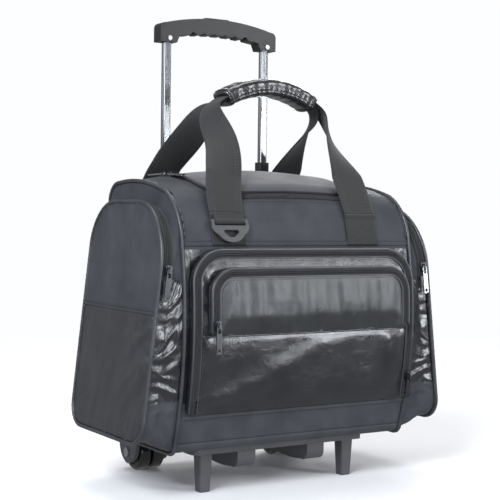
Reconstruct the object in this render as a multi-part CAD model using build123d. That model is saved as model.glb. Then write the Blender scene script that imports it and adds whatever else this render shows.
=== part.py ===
from build123d import *
import os
from math import asin, atan, cos, degrees, pi, radians, sin, sqrt

# Pilot's rolling flight case. X runs to the case's left-hand end when it is seen from behind,
# Y to the rear, Z up. The origin is on the floor under the middle of the case. Millimetres.

# --- driving dimensions -------------------------------------------------------------------------
BODY_HALF = 175.0       # half length of the main compartment, between the inner piping lines
BODY_FRONT, BODY_BACK = -112.5, 98.0
BODY_BOTTOM, BODY_TOP = 60.0, 396.5
CROWN = 17.0            # how far the lid domes above its own ends
WALL = 2.4              # lined and foam-backed nylon
STATIONS = (-BODY_HALF, -88.0, 0.0, 88.0, BODY_HALF)

LID_LEFT, LID_RIGHT, LID_FRONT, LID_REAR = -128.0, 106.0, -78.0, 75.0
LID_CORNER = 32.0
ZIP_SLOT = 5.0          # half width of the strip of zip that shows between two panels
ZIP_GAP = 0.5           # half the gap between the two rows of coil
TAPE_T, COIL_T, COIL_HALF = 0.9, 1.8, 2.2

END_TILT = degrees(atan(0.115))   # the end pockets are deeper at the foot than at the head
END_REACH = 240.0       # where the outer face would meet the floor
END_FRONT, END_BACK, END_FOOT, END_HEAD = -110.0, 100.0, 76.0, 375.0
END_R = (84.0, 60.0, 32.0)        # corner radii: front head, rear head, both feet
END_BAND = 18.0         # straight band behind the outer rim, which carries the zip
PIPING_R = 2.2
POCKET_WALL = 2.4

POCKET_LEFT, POCKET_RIGHT, POCKET_FOOT, POCKET_HEAD, POCKET_R = -168.0, 171.0, 109.0, 314.0, 44.0
POCKET_T = 9.0
SMALL_LEFT, SMALL_RIGHT, SMALL_FOOT, SMALL_HEAD, SMALL_R = -147.0, 158.0, 208.0, 291.0, 34.0
SMALL_T = 8.0
RIM_ZIP_IN, RIM_TAPE_HALF = 6.0, 5.0    # a front pocket's zip inside its rim, and its half width
AIR = 0.4               # clearance between soft pieces lying on each other

STRAP_W, STRAP_T = 50.0, 2.4      # carry handle webbing
GRIP_STRAP_W = 32.0     # the webbing folded narrower inside the wrap
WRAP_HALF, WRAP_RISE, WRAP_X, WRAP_Z = 69.0, 19.0, 9.0, 529.0
WRAP_W, WRAP_T = 46.0, 27.0

TUBE_X, TUBE_Y = 80.5, 121.25     # centres of the trolley tubes
INNER_TUBE = (12.5, 8.5)
MIDDLE_TUBE = (16.1, 12.1)
OUTER_TUBE = (19.9, 15.9)
TUBE_WALL = 1.1
OUTER_FOOT, OUTER_TOP = 64.0, 402.0
MIDDLE_FOOT, MIDDLE_TOP = 150.0, 424.0
INNER_FOOT, INNER_TOP = 352.0, 608.0
GRIP_HALF, GRIP_D = 95.0, 21.0
GRIP_UNDER, GRIP_END_TOP, GRIP_TOP, SOCKET_FOOT = 606.0, 622.0, 636.0, 596.0
BUTTON_TRAVEL, PIN_TRAVEL = 4.0, 2.0
PIN_Z = 360.0           # the lock pins, near the foot of the inner tubes

LEG_X, LEG_Y, LEG_TOP_W, LEG_FOOT_W = 111.3, -50.0, 19.0, 14.7
SKID_X, SKID_W = 54.4, 27.0
BASE_HALF, BASE_FRONT, BASE_REAR, BASE_T = 133.0, -65.0, 96.0, 9.6
WHEEL_X, WHEEL_Y, WHEEL_R, WHEEL_W, WHEEL_PITCH = 111.7, 113.0, 25.0, 17.5, 20.7
AXLE_R, RIM_R, BORE_R = 4.0, 18.0, 4.25


# --- small helpers ------------------------------------------------------------------------------
def face_of(points):
    """Closed face from a run of corners; a corner given as (via, end) makes an arc."""
    edges, here = [], points[0]
    for step in points[1:]:
        if isinstance(step[0], tuple):
            edges.append(ThreePointArc(here, step[0], step[1]))
            here = step[1]
        else:
            edges.append(Line(here, step))
            here = step
    return make_face(Curve() + edges)


def block(x0, x1, y0, y1, z0, z1):
    """Plain box between two corners."""
    centre = Pos((x0 + x1) / 2, (y0 + y1) / 2, (z0 + z1) / 2)
    return centre * Box(abs(x1 - x0), abs(y1 - y0), abs(z1 - z0))


def rod_x(x0, x1, y, z, r):
    """Round bar along X."""
    return Pos((x0 + x1) / 2, y, z) * Rot(0, 90, 0) * Cylinder(r, abs(x1 - x0))


def rounded(x0, x1, y0, y1, radii):
    """Rectangle from x0,y0 to x1,y1; corner radii anticlockwise from the lower left."""
    a, b, c, d = radii
    k = 1 - sqrt(0.5)
    return face_of([
        (x0 + a, y0), (x1 - b, y0),
        ((x1 - k * b, y0 + k * b), (x1, y0 + b)), (x1, y1 - c),
        ((x1 - k * c, y1 - k * c), (x1 - c, y1)), (x0 + d, y1),
        ((x0 + k * d, y1 - k * d), (x0, y1 - d)), (x0, y0 + a),
        ((x0 + k * a, y0 + k * a), (x0 + a, y0)),
    ])


def circle_centre(a, b, c):
    """Centre of the circle through three points in a plane."""
    d = 2 * (a[0] * (b[1] - c[1]) + b[0] * (c[1] - a[1]) + c[0] * (a[1] - b[1]))
    sa, sb, sc = (p[0] ** 2 + p[1] ** 2 for p in (a, b, c))
    return (
        (sa * (b[1] - c[1]) + sb * (c[1] - a[1]) + sc * (a[1] - b[1])) / d,
        (sa * (c[0] - b[0]) + sb * (a[0] - c[0]) + sc * (b[0] - a[0])) / d,
    )


def both(shape):
    """A piece and its mirror image about the middle of the case."""
    return shape + mirror(shape, about=Plane.YZ)


# --- main compartment ---------------------------------------------------------------------------
def crown_at(x):
    return CROWN * (1 - (x / BODY_HALF) ** 2)


def body_corners(c, t):
    """Outline across the case, with crown c, drawn t inside the outer surface."""
    return [
        (BODY_FRONT + 20.5 + t, 72),
        ((BODY_FRONT + t, 190), (-104 + t, 322)),
        ((-89.5 + 0.8 * t, 360 - 0.6 * t + 0.35 * c), (-63 + 0.5 * t, 382.5 - 0.9 * t + 0.75 * c)),
        ((5, BODY_TOP - t + c), (70, BODY_TOP - 1 - t + 0.95 * c)),
        ((90.5 - 0.7 * t, 387.5 - 0.7 * t + 0.75 * c), (BODY_BACK - t, 367 + 0.4 * c)),
        (BODY_BACK - t, 74),
        ((94 - 0.7 * t, 64 + 0.7 * t), (84, BODY_BOTTOM + t)),
        (-80, BODY_BOTTOM + t),
        ((-88.5 + 0.7 * t, 63.5 + 0.7 * t), (BODY_FRONT + 20.5 + t, 72)),
    ]


def body_section(x, t, crown=None):
    """The outline as a face standing across the case at x."""
    c = crown_at(x) if crown is None else crown
    return Plane.YZ.offset(x) * face_of(body_corners(c, t))


def body_solid(t, end=0.0):
    """The padded box as a solid, drawn t inside its outer surface and end short at each end."""
    half = BODY_HALF - end
    return loft([body_section(max(-half, min(half, x)), t, crown_at(x)) for x in STATIONS])


def body_layer(t_outer, t_inner):
    """Layer of the box between two depths."""
    return body_solid(t_outer) - body_solid(t_inner, -1.0)


def lid_plan(grow):
    """Plan of the lid opening, grown about the zip's centre line; open at the hinge."""
    r = LID_CORNER + grow
    plan = rounded(LID_LEFT - grow, LID_RIGHT + grow, LID_FRONT - grow, 140, (r, r, 4, 4))
    return Pos(0, 0, 330) * extrude(plan, 130)


BEHIND_LID = block(-200, 200, LID_REAR, 200, 300, 500)
skin = body_layer(0, WALL)
lid_flap = skin & (lid_plan(-ZIP_SLOT) - block(-200, 200, LID_REAR - 0.4, 200, 300, 500))
body_shell = body_solid(0) - body_solid(WALL, WALL)
body_shell = body_shell - (lid_plan(ZIP_SLOT) - BEHIND_LID)


def lid_zip(outer, inner, depth_outer, depth_inner, rear):
    """Strip of the lid's zip between two growths of its plan and two depths in the wall."""
    ring = lid_plan(outer) - lid_plan(inner) - block(-200, 200, rear, 200, 300, 500)
    return body_layer(depth_outer, depth_inner) & ring


TAPE_OUT, TAPE_IN = WALL + 0.3, WALL + 0.3 + TAPE_T
COIL_OUT = TAPE_OUT - COIL_T
body_zip_half = lid_zip(10, ZIP_GAP, TAPE_OUT, TAPE_IN, LID_REAR - 3)
body_zip_half += lid_zip(COIL_HALF, ZIP_GAP, COIL_OUT, TAPE_OUT, LID_REAR - 6)
lid_zip_half = lid_zip(-ZIP_GAP, -10, TAPE_OUT, TAPE_IN, LID_REAR - 3)
lid_zip_half += lid_zip(-ZIP_GAP, -COIL_HALF, COIL_OUT, TAPE_OUT, LID_REAR - 6)

base_board = block(-166, 166, -78, 86, 63.2, 66.2)
back_board = block(-160, 160, 91.4, 94.4, 80, 350)


# --- end pockets, built at the +X end and mirrored ----------------------------------------------
RIM = Plane(origin=(END_REACH, 0, 0), x_dir=(0, 1, 0),
            z_dir=(cos(radians(END_TILT)), 0, sin(radians(END_TILT))))


def rim_face(t, depth):
    """Outline of an end pocket's outer face, t inside its rim and depth behind it."""
    head, rear, foot = (r - t for r in END_R)
    outline = face_of([
        (END_FRONT + t, END_FOOT + t + foot),
        (END_FRONT + t, END_HEAD - t - head),
        ((END_FRONT + t + 0.2929 * head, END_HEAD - t - 0.2929 * head),
         (END_FRONT + t + head, END_HEAD - t)),
        (END_BACK - t - rear, END_HEAD - t),
        ((END_BACK - t - 0.2929 * rear, END_HEAD - t - 0.2929 * rear),
         (END_BACK - t, END_HEAD - t - rear)),
        (END_BACK - t, END_FOOT + t + foot),
        ((END_BACK - t - 0.2929 * foot, END_FOOT + t + 0.2929 * foot),
         (END_BACK - t - foot, END_FOOT + t)),
        (END_FRONT + t + foot, END_FOOT + t),
        ((END_FRONT + t + 0.2929 * foot, END_FOOT + t + 0.2929 * foot),
         (END_FRONT + t, END_FOOT + t + foot)),
    ])
    return RIM.offset(-depth) * outline


def rim_band(t_outer, t_inner, near, far):
    """Band that follows the rim, between two insets and two depths behind the outer face."""
    out = extrude(rim_face(t_outer, far), far - near, dir=RIM.z_dir)
    return out - extrude(rim_face(t_inner, far + 1), far - near + 2, dir=RIM.z_dir)


def pocket_blank(t, gap, depth):
    """End pocket as a closed solid, taken in by t all round and by depth at the outer face."""
    foot = Plane.YZ.offset(BODY_HALF + gap) * face_of(body_corners(0, t + 1.0))
    taper = loft([foot, rim_face(t + 2.9, END_BAND)], ruled=True)
    return taper + extrude(rim_face(t + 2.9, END_BAND), END_BAND - depth, dir=RIM.z_dir)


end_pocket = pocket_blank(0, 0.4, 0.4) - pocket_blank(POCKET_WALL, 0.1, POCKET_WALL)
end_pocket = end_pocket - block(170, 175.4, -200, 200, 0, 500)

END_ZIP_IN = 10.0       # the zip's centre line behind the rim
zip_keep = block(150, 260, -130, 0, 276, 400) + block(150, 260, 0, 130, 128, 400)
end_zip = rim_band(2.9 - AIR - TAPE_T, 2.9 - AIR, END_ZIP_IN - 6, END_ZIP_IN + 6)
end_zip += rim_band(2.9 - AIR - TAPE_T - COIL_T, 2.9 - AIR - TAPE_T,
                    END_ZIP_IN - COIL_HALF, END_ZIP_IN + COIL_HALF)
end_zip = end_zip & zip_keep


def closed_cord(points, r):
    """Round cord swept round a closed run of points."""
    path = Spline(*points, periodic=True)
    start = Plane(origin=path @ 0, z_dir=path % 0)
    return sweep(start * Circle(r), path=path)


def loop_points(face, count):
    """Evenly spaced points round the edge of a face."""
    wire = face.faces()[0].outer_wire()
    return [wire.position_at(i / count) for i in range(count)]


inner_piping = closed_cord(loop_points(body_section(BODY_HALF + 1.6, -3.5, 0.0), 36), PIPING_R)
outer_piping = rim_band(-PIPING_R, PIPING_R, -PIPING_R, PIPING_R)
outer_piping = fillet(outer_piping.edges(), PIPING_R - 0.15)
end_piping = inner_piping + outer_piping


# --- front pockets ------------------------------------------------------------------------------
def front_prism(left, right, foot, head, r_head, r_foot):
    """Upright prism that cuts a panel out of the layers on the front of the case."""
    plan = rounded(left, right, foot, head, (r_foot, r_foot, r_head, r_head))
    return extrude(Plane.XZ.offset(70) * plan, 90)


def pocket_band(box, inset_outer, inset_inner, t_outer, t_inner, foot):
    """Band following a front pocket's arched rim, above foot."""
    left, right, low, high, r = box
    io, ii = inset_outer, inset_inner
    ring = front_prism(left + io, right - io, low - 30, high - io, r - io, 1)
    ring = ring - front_prism(left + ii, right - ii, low - 40, high - ii, r - ii, 1)
    return (body_layer(t_outer, t_inner) & ring) & block(-200, 200, -180, -60, foot, 400)


POCKET_BOX = (POCKET_LEFT, POCKET_RIGHT, POCKET_FOOT, POCKET_HEAD, POCKET_R)
SMALL_BOX = (SMALL_LEFT, SMALL_RIGHT, SMALL_FOOT, SMALL_HEAD, SMALL_R)
pocket_face_t = -(AIR + POCKET_T)
small_face_t = pocket_face_t - AIR - SMALL_T
front_pocket = body_layer(pocket_face_t, -AIR) & front_prism(*POCKET_BOX, 10)
small_pocket = body_layer(small_face_t, pocket_face_t - AIR) & front_prism(*SMALL_BOX, 6)


def pocket_zip(box, face_t, foot):
    """Tape and coil of a front pocket's zip, lying on its arched rim."""
    tape_t = face_t - AIR - TAPE_T
    tape = pocket_band(box, RIM_ZIP_IN - RIM_TAPE_HALF, RIM_ZIP_IN + RIM_TAPE_HALF,
                       tape_t, face_t - AIR, foot)
    return tape + pocket_band(box, RIM_ZIP_IN - COIL_HALF, RIM_ZIP_IN + COIL_HALF,
                              tape_t - COIL_T, tape_t, foot)


front_pocket_zip = pocket_zip(POCKET_BOX, pocket_face_t, 128)
small_pocket_zip = pocket_zip(SMALL_BOX, small_face_t, 212)


# --- zip sliders and pulls ----------------------------------------------------------------------
# Each is built lying along local X with the fabric below it, local Z = 0 at the top of the coil.
PULL_PIN_Z = 3.7


def slider():
    """Saddle over the coil with the bridge that holds the pull."""
    top = Pos(0, 0, 1.2) * Box(12, 9, 1.6)
    top = fillet(top.edges().filter_by(Axis.Z), 2)
    for side in (-1, 1):
        top += Pos(0, side * 3.3, -0.2) * Box(10, 1.2, 2.0)
    arch = Pos(0, 0, 3.9) * Box(9, 2.2, 4.2) - Pos(0, 0, 3.6) * Box(6.2, 4, 2.6)
    return top + fillet(arch.edges().filter_by(Axis.Y).group_by(Axis.Z)[-1], 1.2)


def pull(length, ring):
    """Tab hung on the slider's bridge by a thin cross bar; ring leaves a window in its end."""
    bar = Pos(0, 0, PULL_PIN_Z) * Rot(90, 0, 0) * Cylinder(0.8, 6.4)
    arms = [Pos(-4.6, side * 2.5, PULL_PIN_Z) * Box(10.4, 1.4, 1.4) for side in (-1, 1)]
    tab = Pos(-9 - (length - 9) / 2, 0, PULL_PIN_Z) * Box(length - 9, 7.2, 1.7)
    tab = fillet(tab.edges().filter_by(Axis.Z), 1.6)
    if ring:
        tab = tab - Pos(-length + 4.2, 0, PULL_PIN_Z) * Box(3.6, 3.6, 4)
    return bar + arms[0] + arms[1] + tab


def place(shape, at, along, out):
    """Stand a local shape at a point, with its X along one direction and its Z along another."""
    return Plane(origin=at, x_dir=along, z_dir=out) * shape


LID_ARC = body_corners(crown_at(LID_LEFT), COIL_OUT)
lid_arc_points = (LID_ARC[2][1], LID_ARC[3][0], LID_ARC[3][1])
LID_ARC_Y, LID_ARC_Z = circle_centre(*lid_arc_points)
LID_ARC_R = sqrt((lid_arc_points[0][0] - LID_ARC_Y) ** 2 + (lid_arc_points[0][1] - LID_ARC_Z) ** 2)
SIDE_SLOPE = 2 * CROWN * -LID_LEFT / BODY_HALF ** 2
SLIDER_LIFT = 0.7       # free height between the coil and the slider


def lid_station(angle):
    """Point and outward direction on the left run of the lid zip, angle degrees behind the top."""
    a = radians(angle)
    r = LID_ARC_R + SLIDER_LIFT
    at = (LID_LEFT, LID_ARC_Y + r * sin(a), LID_ARC_Z + r * cos(a))
    return at, Vector(-SIDE_SLOPE, sin(a), cos(a)).normalized(), Vector(0, cos(a), -sin(a))


rear_at, rear_out, rear_along = lid_station(1.0)
fore_at, fore_out, fore_along = lid_station(-3.2)
lid_slider_rear = place(slider(), rear_at, -rear_along, rear_out)
lid_pull_rear = place(pull(38, True), rear_at, -rear_along, rear_out)
lid_slider_fore = place(slider(), fore_at, fore_along, fore_out)
lid_pull_fore = place(pull(38, True), fore_at, fore_along, fore_out)

END_SLIDER_V = END_HEAD - END_R[0]
END_STACK = 2.9 - AIR - TAPE_T - COIL_T - SLIDER_LIFT
end_slider_at = RIM.offset(-END_ZIP_IN).from_local_coords((END_FRONT + END_STACK, END_SLIDER_V, 0))
end_slider = place(slider(), end_slider_at, RIM.y_dir, (0, -1, 0))
end_pull = place(pull(36, True), end_slider_at, RIM.y_dir, (0, -1, 0))

BULGE_Y, BULGE_Z = circle_centre(*(p if not isinstance(p[0], tuple) else p[1]
                                   for p in ((BODY_FRONT + 20.5, 72.0), (BODY_FRONT, 190.0),
                                             (-104.0, 322.0))))


def front_station(x, z, face_t):
    """Point and outward direction on a front pocket's zip, at height z."""
    r0 = sqrt((BODY_FRONT - BULGE_Y) ** 2 + (190.0 - BULGE_Z) ** 2)
    r = r0 - face_t + AIR + TAPE_T + COIL_T + SLIDER_LIFT
    a = asin((z - BULGE_Z) / r)
    at = (x, BULGE_Y - r * cos(a), BULGE_Z + r * sin(a))
    return at, Vector(0, -cos(a), sin(a)), Vector(0, sin(a), cos(a))


front_at, front_out, front_up = front_station(POCKET_RIGHT - RIM_ZIP_IN, 142, pocket_face_t)
front_slider = place(slider(), front_at, front_up, front_out)
front_pull = place(pull(30, True), front_at, front_up, front_out)
small_at, small_out, small_up = front_station(SMALL_LEFT + RIM_ZIP_IN, 221, small_face_t)
small_slider = place(slider(), small_at, small_up, small_out)
small_pull = place(pull(34, True), small_at, small_up, small_out)


# --- webbing handles ----------------------------------------------------------------------------
ARCH_R = (WRAP_HALF ** 2 + WRAP_RISE ** 2) / (2 * WRAP_RISE)
ARCH_ANGLE = degrees(asin(WRAP_HALF / ARCH_R))
ARCH_Z = WRAP_Z - ARCH_R
STRAP_STACK = 2.0       # each handle's height above or below the middle of the wrap
FRONT_FOOT_Z, REAR_FOOT_Z = 356.0, 366.0
LEG_STEPS, ARCH_STEPS = 12, 10
GRIP_SHIFT = 2.5        # the upper strap sits this far forward in the wrap, the lower one back
FOOT_OFF = AIR + STRAP_T + AIR + STRAP_T / 2   # the free strap starts in front of its sewn end
STRAP_X = (-108.5, 97.5)


def shoulder_point(x, z, off):
    """Point off the front shoulder of the case at height z, and its outward direction."""
    corners = body_corners(crown_at(x), 0)
    ends = (corners[1][1], corners[2][0], corners[2][1])
    cy, cz = circle_centre(*ends)
    r = sqrt((ends[0][0] - cy) ** 2 + (ends[0][1] - cz) ** 2)
    up = (z - cz) / r
    out = Vector(0, -sqrt(1 - up ** 2), up)
    return Vector(x, cy + (r + off) * out.Y, cz + (r + off) * out.Z), out


def arch_sector(r0, r1, half_width, half_angle):
    """Slice of the arched grip between two radii."""
    wedge = [(WRAP_X + r * sin(radians(q)), ARCH_Z + r * cos(radians(q)))
             for r, q in ((r0, -half_angle), (r1, -half_angle), (r1, 0), (r1, half_angle),
                          (r0, half_angle), (r0, 0))]
    section = face_of([wedge[0], wedge[1], (wedge[2], wedge[3]), wedge[4], (wedge[5], wedge[0])])
    return extrude(Plane.XZ.offset(-half_width) * section, 2 * half_width)


def arch_station(lift, angle):
    """Centre and direction of a strap on the arch of the grip, angle degrees right of its top."""
    q, r = radians(angle), ARCH_R + lift
    aside = -GRIP_SHIFT if lift > 0 else GRIP_SHIFT
    return Vector(WRAP_X + r * sin(q), aside, ARCH_Z + r * cos(q)), Vector(cos(q), 0, -sin(q))


def past_wrap(lift):
    """How far the strap keeps the arch past the wrap; the upper strap keeps it longer."""
    return 6 if lift > 0 else 1


def leg_sections(side, lift, foot, foot_way, bends):
    """Faces down one leg of a handle, which leaves the wrap on edge and turns flat on its way."""
    start, way = arch_station(lift, side * (ARCH_ANGLE + past_wrap(lift)))
    path = Spline(start, *bends, foot, tangents=(way * side, foot_way))
    faces = []
    for n in range(1, LEG_STEPS + 1):
        u = n / LEG_STEPS
        turn = min(1.0, 1.5 * u)
        across = Vector(side * sin(turn * pi / 2), cos(turn * pi / 2), 0)
        along = (path % u).normalized()
        across = (across - along * across.dot(along)).normalized()
        width = GRIP_STRAP_W + (STRAP_W - GRIP_STRAP_W) * turn
        faces.append(Plane(origin=path @ u, x_dir=across, z_dir=along * side) * Rectangle(width, STRAP_T))
    return faces


def handle(lift, left, right):
    """Carry handle: one length of webbing from foot to foot, arched through the wrap."""
    arch = []
    for n in range(ARCH_STEPS + 1):
        at, way = arch_station(lift, (ARCH_ANGLE + past_wrap(lift)) * (2 * n / ARCH_STEPS - 1))
        arch.append(Plane(origin=at, x_dir=(0, 1, 0), z_dir=way) * Rectangle(GRIP_STRAP_W, STRAP_T))
    left_faces = leg_sections(-1, lift, *left)
    return loft(left_faces[::-1] + arch + leg_sections(1, lift, *right), ruled=True)


def front_leg(side):
    """Foot, its direction and the bends of a front leg."""
    foot, out = shoulder_point(STRAP_X[side > 0], FRONT_FOOT_Z, FOOT_OFF)
    bends = {-1: ((-85, -36, 458), (-95, -66, 414)), 1: ((94, -36, 458), (96, -66, 414))}[side]
    return foot, Vector(0, -out.Z, out.Y), bends


def rear_leg(side):
    """Foot, its direction and the bends of a rear leg."""
    foot = Vector(STRAP_X[side > 0], BODY_BACK + FOOT_OFF, REAR_FOOT_Z)
    bends = {-1: ((-86, 40, 462), (-103, 86, 412)), 1: ((94, 40, 462), (98, 86, 412))}[side]
    return foot, Vector(0, 0, -1), bends


front_handle = handle(STRAP_STACK, front_leg(-1), front_leg(1))
rear_handle = handle(-STRAP_STACK, rear_leg(-1), rear_leg(1))
handle_wrap = arch_sector(ARCH_R - WRAP_T / 2, ARCH_R + WRAP_T / 2, WRAP_W / 2, ARCH_ANGLE)
handle_wrap = fillet(handle_wrap.edges().filter_by(GeomType.CIRCLE), 9)
slot_half = STRAP_STACK + STRAP_T / 2 + 0.5
handle_wrap -= arch_sector(ARCH_R - slot_half, ARCH_R + slot_half, GRIP_STRAP_W / 2 + GRIP_SHIFT + 0.7,
                           ARCH_ANGLE + 6)

webbing_layer = body_layer(-AIR - STRAP_T, -AIR)
front_anchors, rear_anchors = None, None
for x in STRAP_X:
    half = STRAP_W / 2
    on_front = webbing_layer & block(x - half, x + half, -130, -70, 317, FRONT_FOOT_Z - 2)
    on_rear = webbing_layer & block(x - half, x + half, 88, 130, 324, REAR_FOOT_Z - 2)
    front_anchors = on_front if front_anchors is None else front_anchors + on_front
    rear_anchors = on_rear if rear_anchors is None else rear_anchors + on_rear

# --- shoulder-strap ring, local X across, Y up the case, Z outward ------------------------------
RING_BAR_R, RING_BAR_Z = 1.5, 345.0
LOOP_T, LOOP_AIR, LOOP_W = 1.2, 0.2, 43.0
RING_OFF = AIR + STRAP_T + 0.3 + LOOP_T + LOOP_AIR + RING_BAR_R
ring_at, ring_out = shoulder_point(STRAP_X[0], RING_BAR_Z, RING_OFF)
RING_PLANE = Plane(origin=ring_at, x_dir=(1, 0, 0), z_dir=ring_out)
ring_plate = face_of([(-26, 3), (26, 3), (27, -8), ((24, -13), (19, -17)), ((0, -27), (-19, -17)),
                      ((-24, -13), (-27, -8)), (-26, 3)])
ring_hole = face_of([(-9, -11), (9, -11), ((10.5, -13), (8, -16)), ((0, -20.5), (-8, -16)),
                     ((-10.5, -13), (-9, -11))])
ring = extrude(Pos(0, 0, -1.6) * ring_plate, 3.2) - extrude(Pos(0, 0, -3) * ring_hole, 6)
ring = ring - Pos(0, 0.5, 0) * Box(LOOP_W + 1.4, 11, 6)
ring = ring + Rot(0, 90, 0) * Cylinder(RING_BAR_R, LOOP_W + 3)
loop_outer = RING_BAR_R + LOOP_AIR + LOOP_T
loop_side = Circle(loop_outer) + face_of([(-loop_outer, 0), (loop_outer, 0), (0.4, 5.5), (0.2, 10),
                                         (-loop_outer, 10), (-loop_outer, 0)])
loop_side = loop_side - Circle(RING_BAR_R + LOOP_AIR)
loop_side = Plane(origin=(LOOP_W / 2, 0, 0), x_dir=(0, 0, 1), z_dir=(-1, 0, 0)) * loop_side


# --- trolley ------------------------------------------------------------------------------------
def tube(size, z0, z1, wall=TUBE_WALL):
    """One square-shouldered tube of the trolley on the +X side."""
    bar = extrude(Pos(TUBE_X, TUBE_Y, z0) * RectangleRounded(*size, 2.4), z1 - z0)
    bore = RectangleRounded(size[0] - 2 * wall, size[1] - 2 * wall, 1.4)
    return bar - extrude(Pos(TUBE_X, TUBE_Y, z0 - 1) * bore, z1 - z0 + 2)


def collar(outside, inside, z0, z1):
    """Plastic collar on the head of a tube."""
    ring = extrude(Pos(TUBE_X, TUBE_Y, z0) * RectangleRounded(*outside, 3), z1 - z0)
    return ring - extrude(Pos(TUBE_X, TUBE_Y, z0 - 1) * RectangleRounded(*inside, 1.6), z1 - z0 + 2)


def grown(size, d):
    return (size[0] + 2 * d, size[1] + 2 * d)


outer_tube = tube(OUTER_TUBE, OUTER_FOOT, OUTER_TOP)
outer_collar = collar(grown(OUTER_TUBE, 1.9), grown(OUTER_TUBE, 0.05), OUTER_TOP - 14, OUTER_TOP)
outer_collar += collar(grown(OUTER_TUBE, 1.9), grown(MIDDLE_TUBE, 0.35), OUTER_TOP + 0.02,
                       OUTER_TOP + 8) + collar(grown(OUTER_TUBE, 1.9), grown(OUTER_TUBE, 0.05),
                                               OUTER_TOP - 1, OUTER_TOP + 0.1)
middle_tube = tube(MIDDLE_TUBE, MIDDLE_FOOT, MIDDLE_TOP)
PIN_SLOT = block(TUBE_X + 5, TUBE_X + 12, TUBE_Y - 1.9, TUBE_Y + 1.9, PIN_Z - 153, PIN_Z + 3.5)
middle_tube = middle_tube - PIN_SLOT
middle_collar = collar(grown(MIDDLE_TUBE, 0.9), grown(MIDDLE_TUBE, 0.05), MIDDLE_TOP - 12, MIDDLE_TOP)
middle_collar += collar(grown(MIDDLE_TUBE, 0.9), grown(INNER_TUBE, 0.3), MIDDLE_TOP + 0.02,
                        MIDDLE_TOP + 9) + collar(grown(MIDDLE_TUBE, 0.9), grown(MIDDLE_TUBE, 0.05),
                                                 MIDDLE_TOP - 1, MIDDLE_TOP + 0.1)
inner_tube = tube(INNER_TUBE, INNER_FOOT, INNER_TOP)
inner_tube = inner_tube - rod_x(TUBE_X + 3, TUBE_X + 9, TUBE_Y, PIN_Z, 1.7)

lock_block = extrude(Pos(TUBE_X, TUBE_Y, INNER_FOOT) * RectangleRounded(10.1, 6.1, 1.2), 12)
lock_block = lock_block - rod_x(TUBE_X - 2.5, TUBE_X + 6, TUBE_Y, PIN_Z, 1.65)
lock_pin = rod_x(TUBE_X + 0.2, TUBE_X + MIDDLE_TUBE[0] / 2, TUBE_Y, PIN_Z, 1.5)


def grip_blank(t):
    """Arched grip with its two sockets, taken in by t."""
    top = face_of([
        (-GRIP_HALF + t, SOCKET_FOOT + t), (-GRIP_HALF + 26 - t, SOCKET_FOOT + t),
        (-GRIP_HALF + 30 - t, GRIP_UNDER + t),
        ((0, GRIP_UNDER + 5 + t), (GRIP_HALF - 30 + t, GRIP_UNDER + t)),
        (GRIP_HALF - 26 + t, SOCKET_FOOT + t), (GRIP_HALF - t, SOCKET_FOOT + t),
        (GRIP_HALF - t, GRIP_END_TOP - 6 - t),
        ((GRIP_HALF - 2 - t, GRIP_END_TOP - 1.5 - t), (GRIP_HALF - 8 - t, GRIP_END_TOP + 1 - t)),
        ((0, GRIP_TOP - 2 - t), (-GRIP_HALF + 8 + t, GRIP_END_TOP + 1 - t)),
        ((-GRIP_HALF + 2 + t, GRIP_END_TOP - 1.5 - t), (-GRIP_HALF + t, GRIP_END_TOP - 6 - t)),
        (-GRIP_HALF + t, SOCKET_FOOT + t),
    ])
    depth = GRIP_D - 2 * t
    return Pos(0, TUBE_Y, 0) * extrude(Plane.XZ.offset(-depth / 2) * top, depth)


grip = grip_blank(0)
for n in range(6):      # finger grooves under the bar
    grip = grip - Pos((n - 2.5) * 17, TUBE_Y, GRIP_UNDER + 1.5) * Rot(90, 0, 0) * Cylinder(5, 40)
grip = grip - grip_blank(2.6)
for s in (-1, 1):       # sockets for the inner tubes, with a boss inside for the screw
    boss = block(s * TUBE_X - 8.6, s * TUBE_X + 8.6, TUBE_Y - 9, TUBE_Y + 9, SOCKET_FOOT, INNER_TOP + 2)
    grip = grip + (boss & grip_blank(0))
    bore = extrude(Pos(s * TUBE_X, TUBE_Y, SOCKET_FOOT - 1) * RectangleRounded(12.8, 8.8, 2.4),
                   INNER_TOP - SOCKET_FOOT + 1.3)
    grip = grip - bore - Pos(s * TUBE_X, TUBE_Y, 600) * Cylinder(1.9, 40)
BUTTON = (42.0, 11.0)
grip = grip - extrude(Pos(0, TUBE_Y, GRIP_TOP - 12) * SlotOverall(BUTTON[0] + 1, BUTTON[1] + 1), 20)
SPLIT = 0.1
grip_front = grip & block(-120, 120, TUBE_Y - 30, TUBE_Y - SPLIT, 580, 650)
grip_rear = grip & block(-120, 120, TUBE_Y + SPLIT, TUBE_Y + 30, 580, 650)
SCREW_Z = 601.5
screw = Pos(TUBE_X, TUBE_Y - GRIP_D / 2 - 0.6, SCREW_Z) * Rot(90, 0, 0) * Cylinder(3.2, 1.2)
screw += Pos(TUBE_X, TUBE_Y - 8.6, SCREW_Z) * Rot(90, 0, 0) * Cylinder(1.5, 5)
screw_hole = Pos(TUBE_X, TUBE_Y - 8.5, SCREW_Z) * Rot(90, 0, 0) * Cylinder(1.6, 5.6)
grip_front = grip_front - both(screw_hole)

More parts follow.
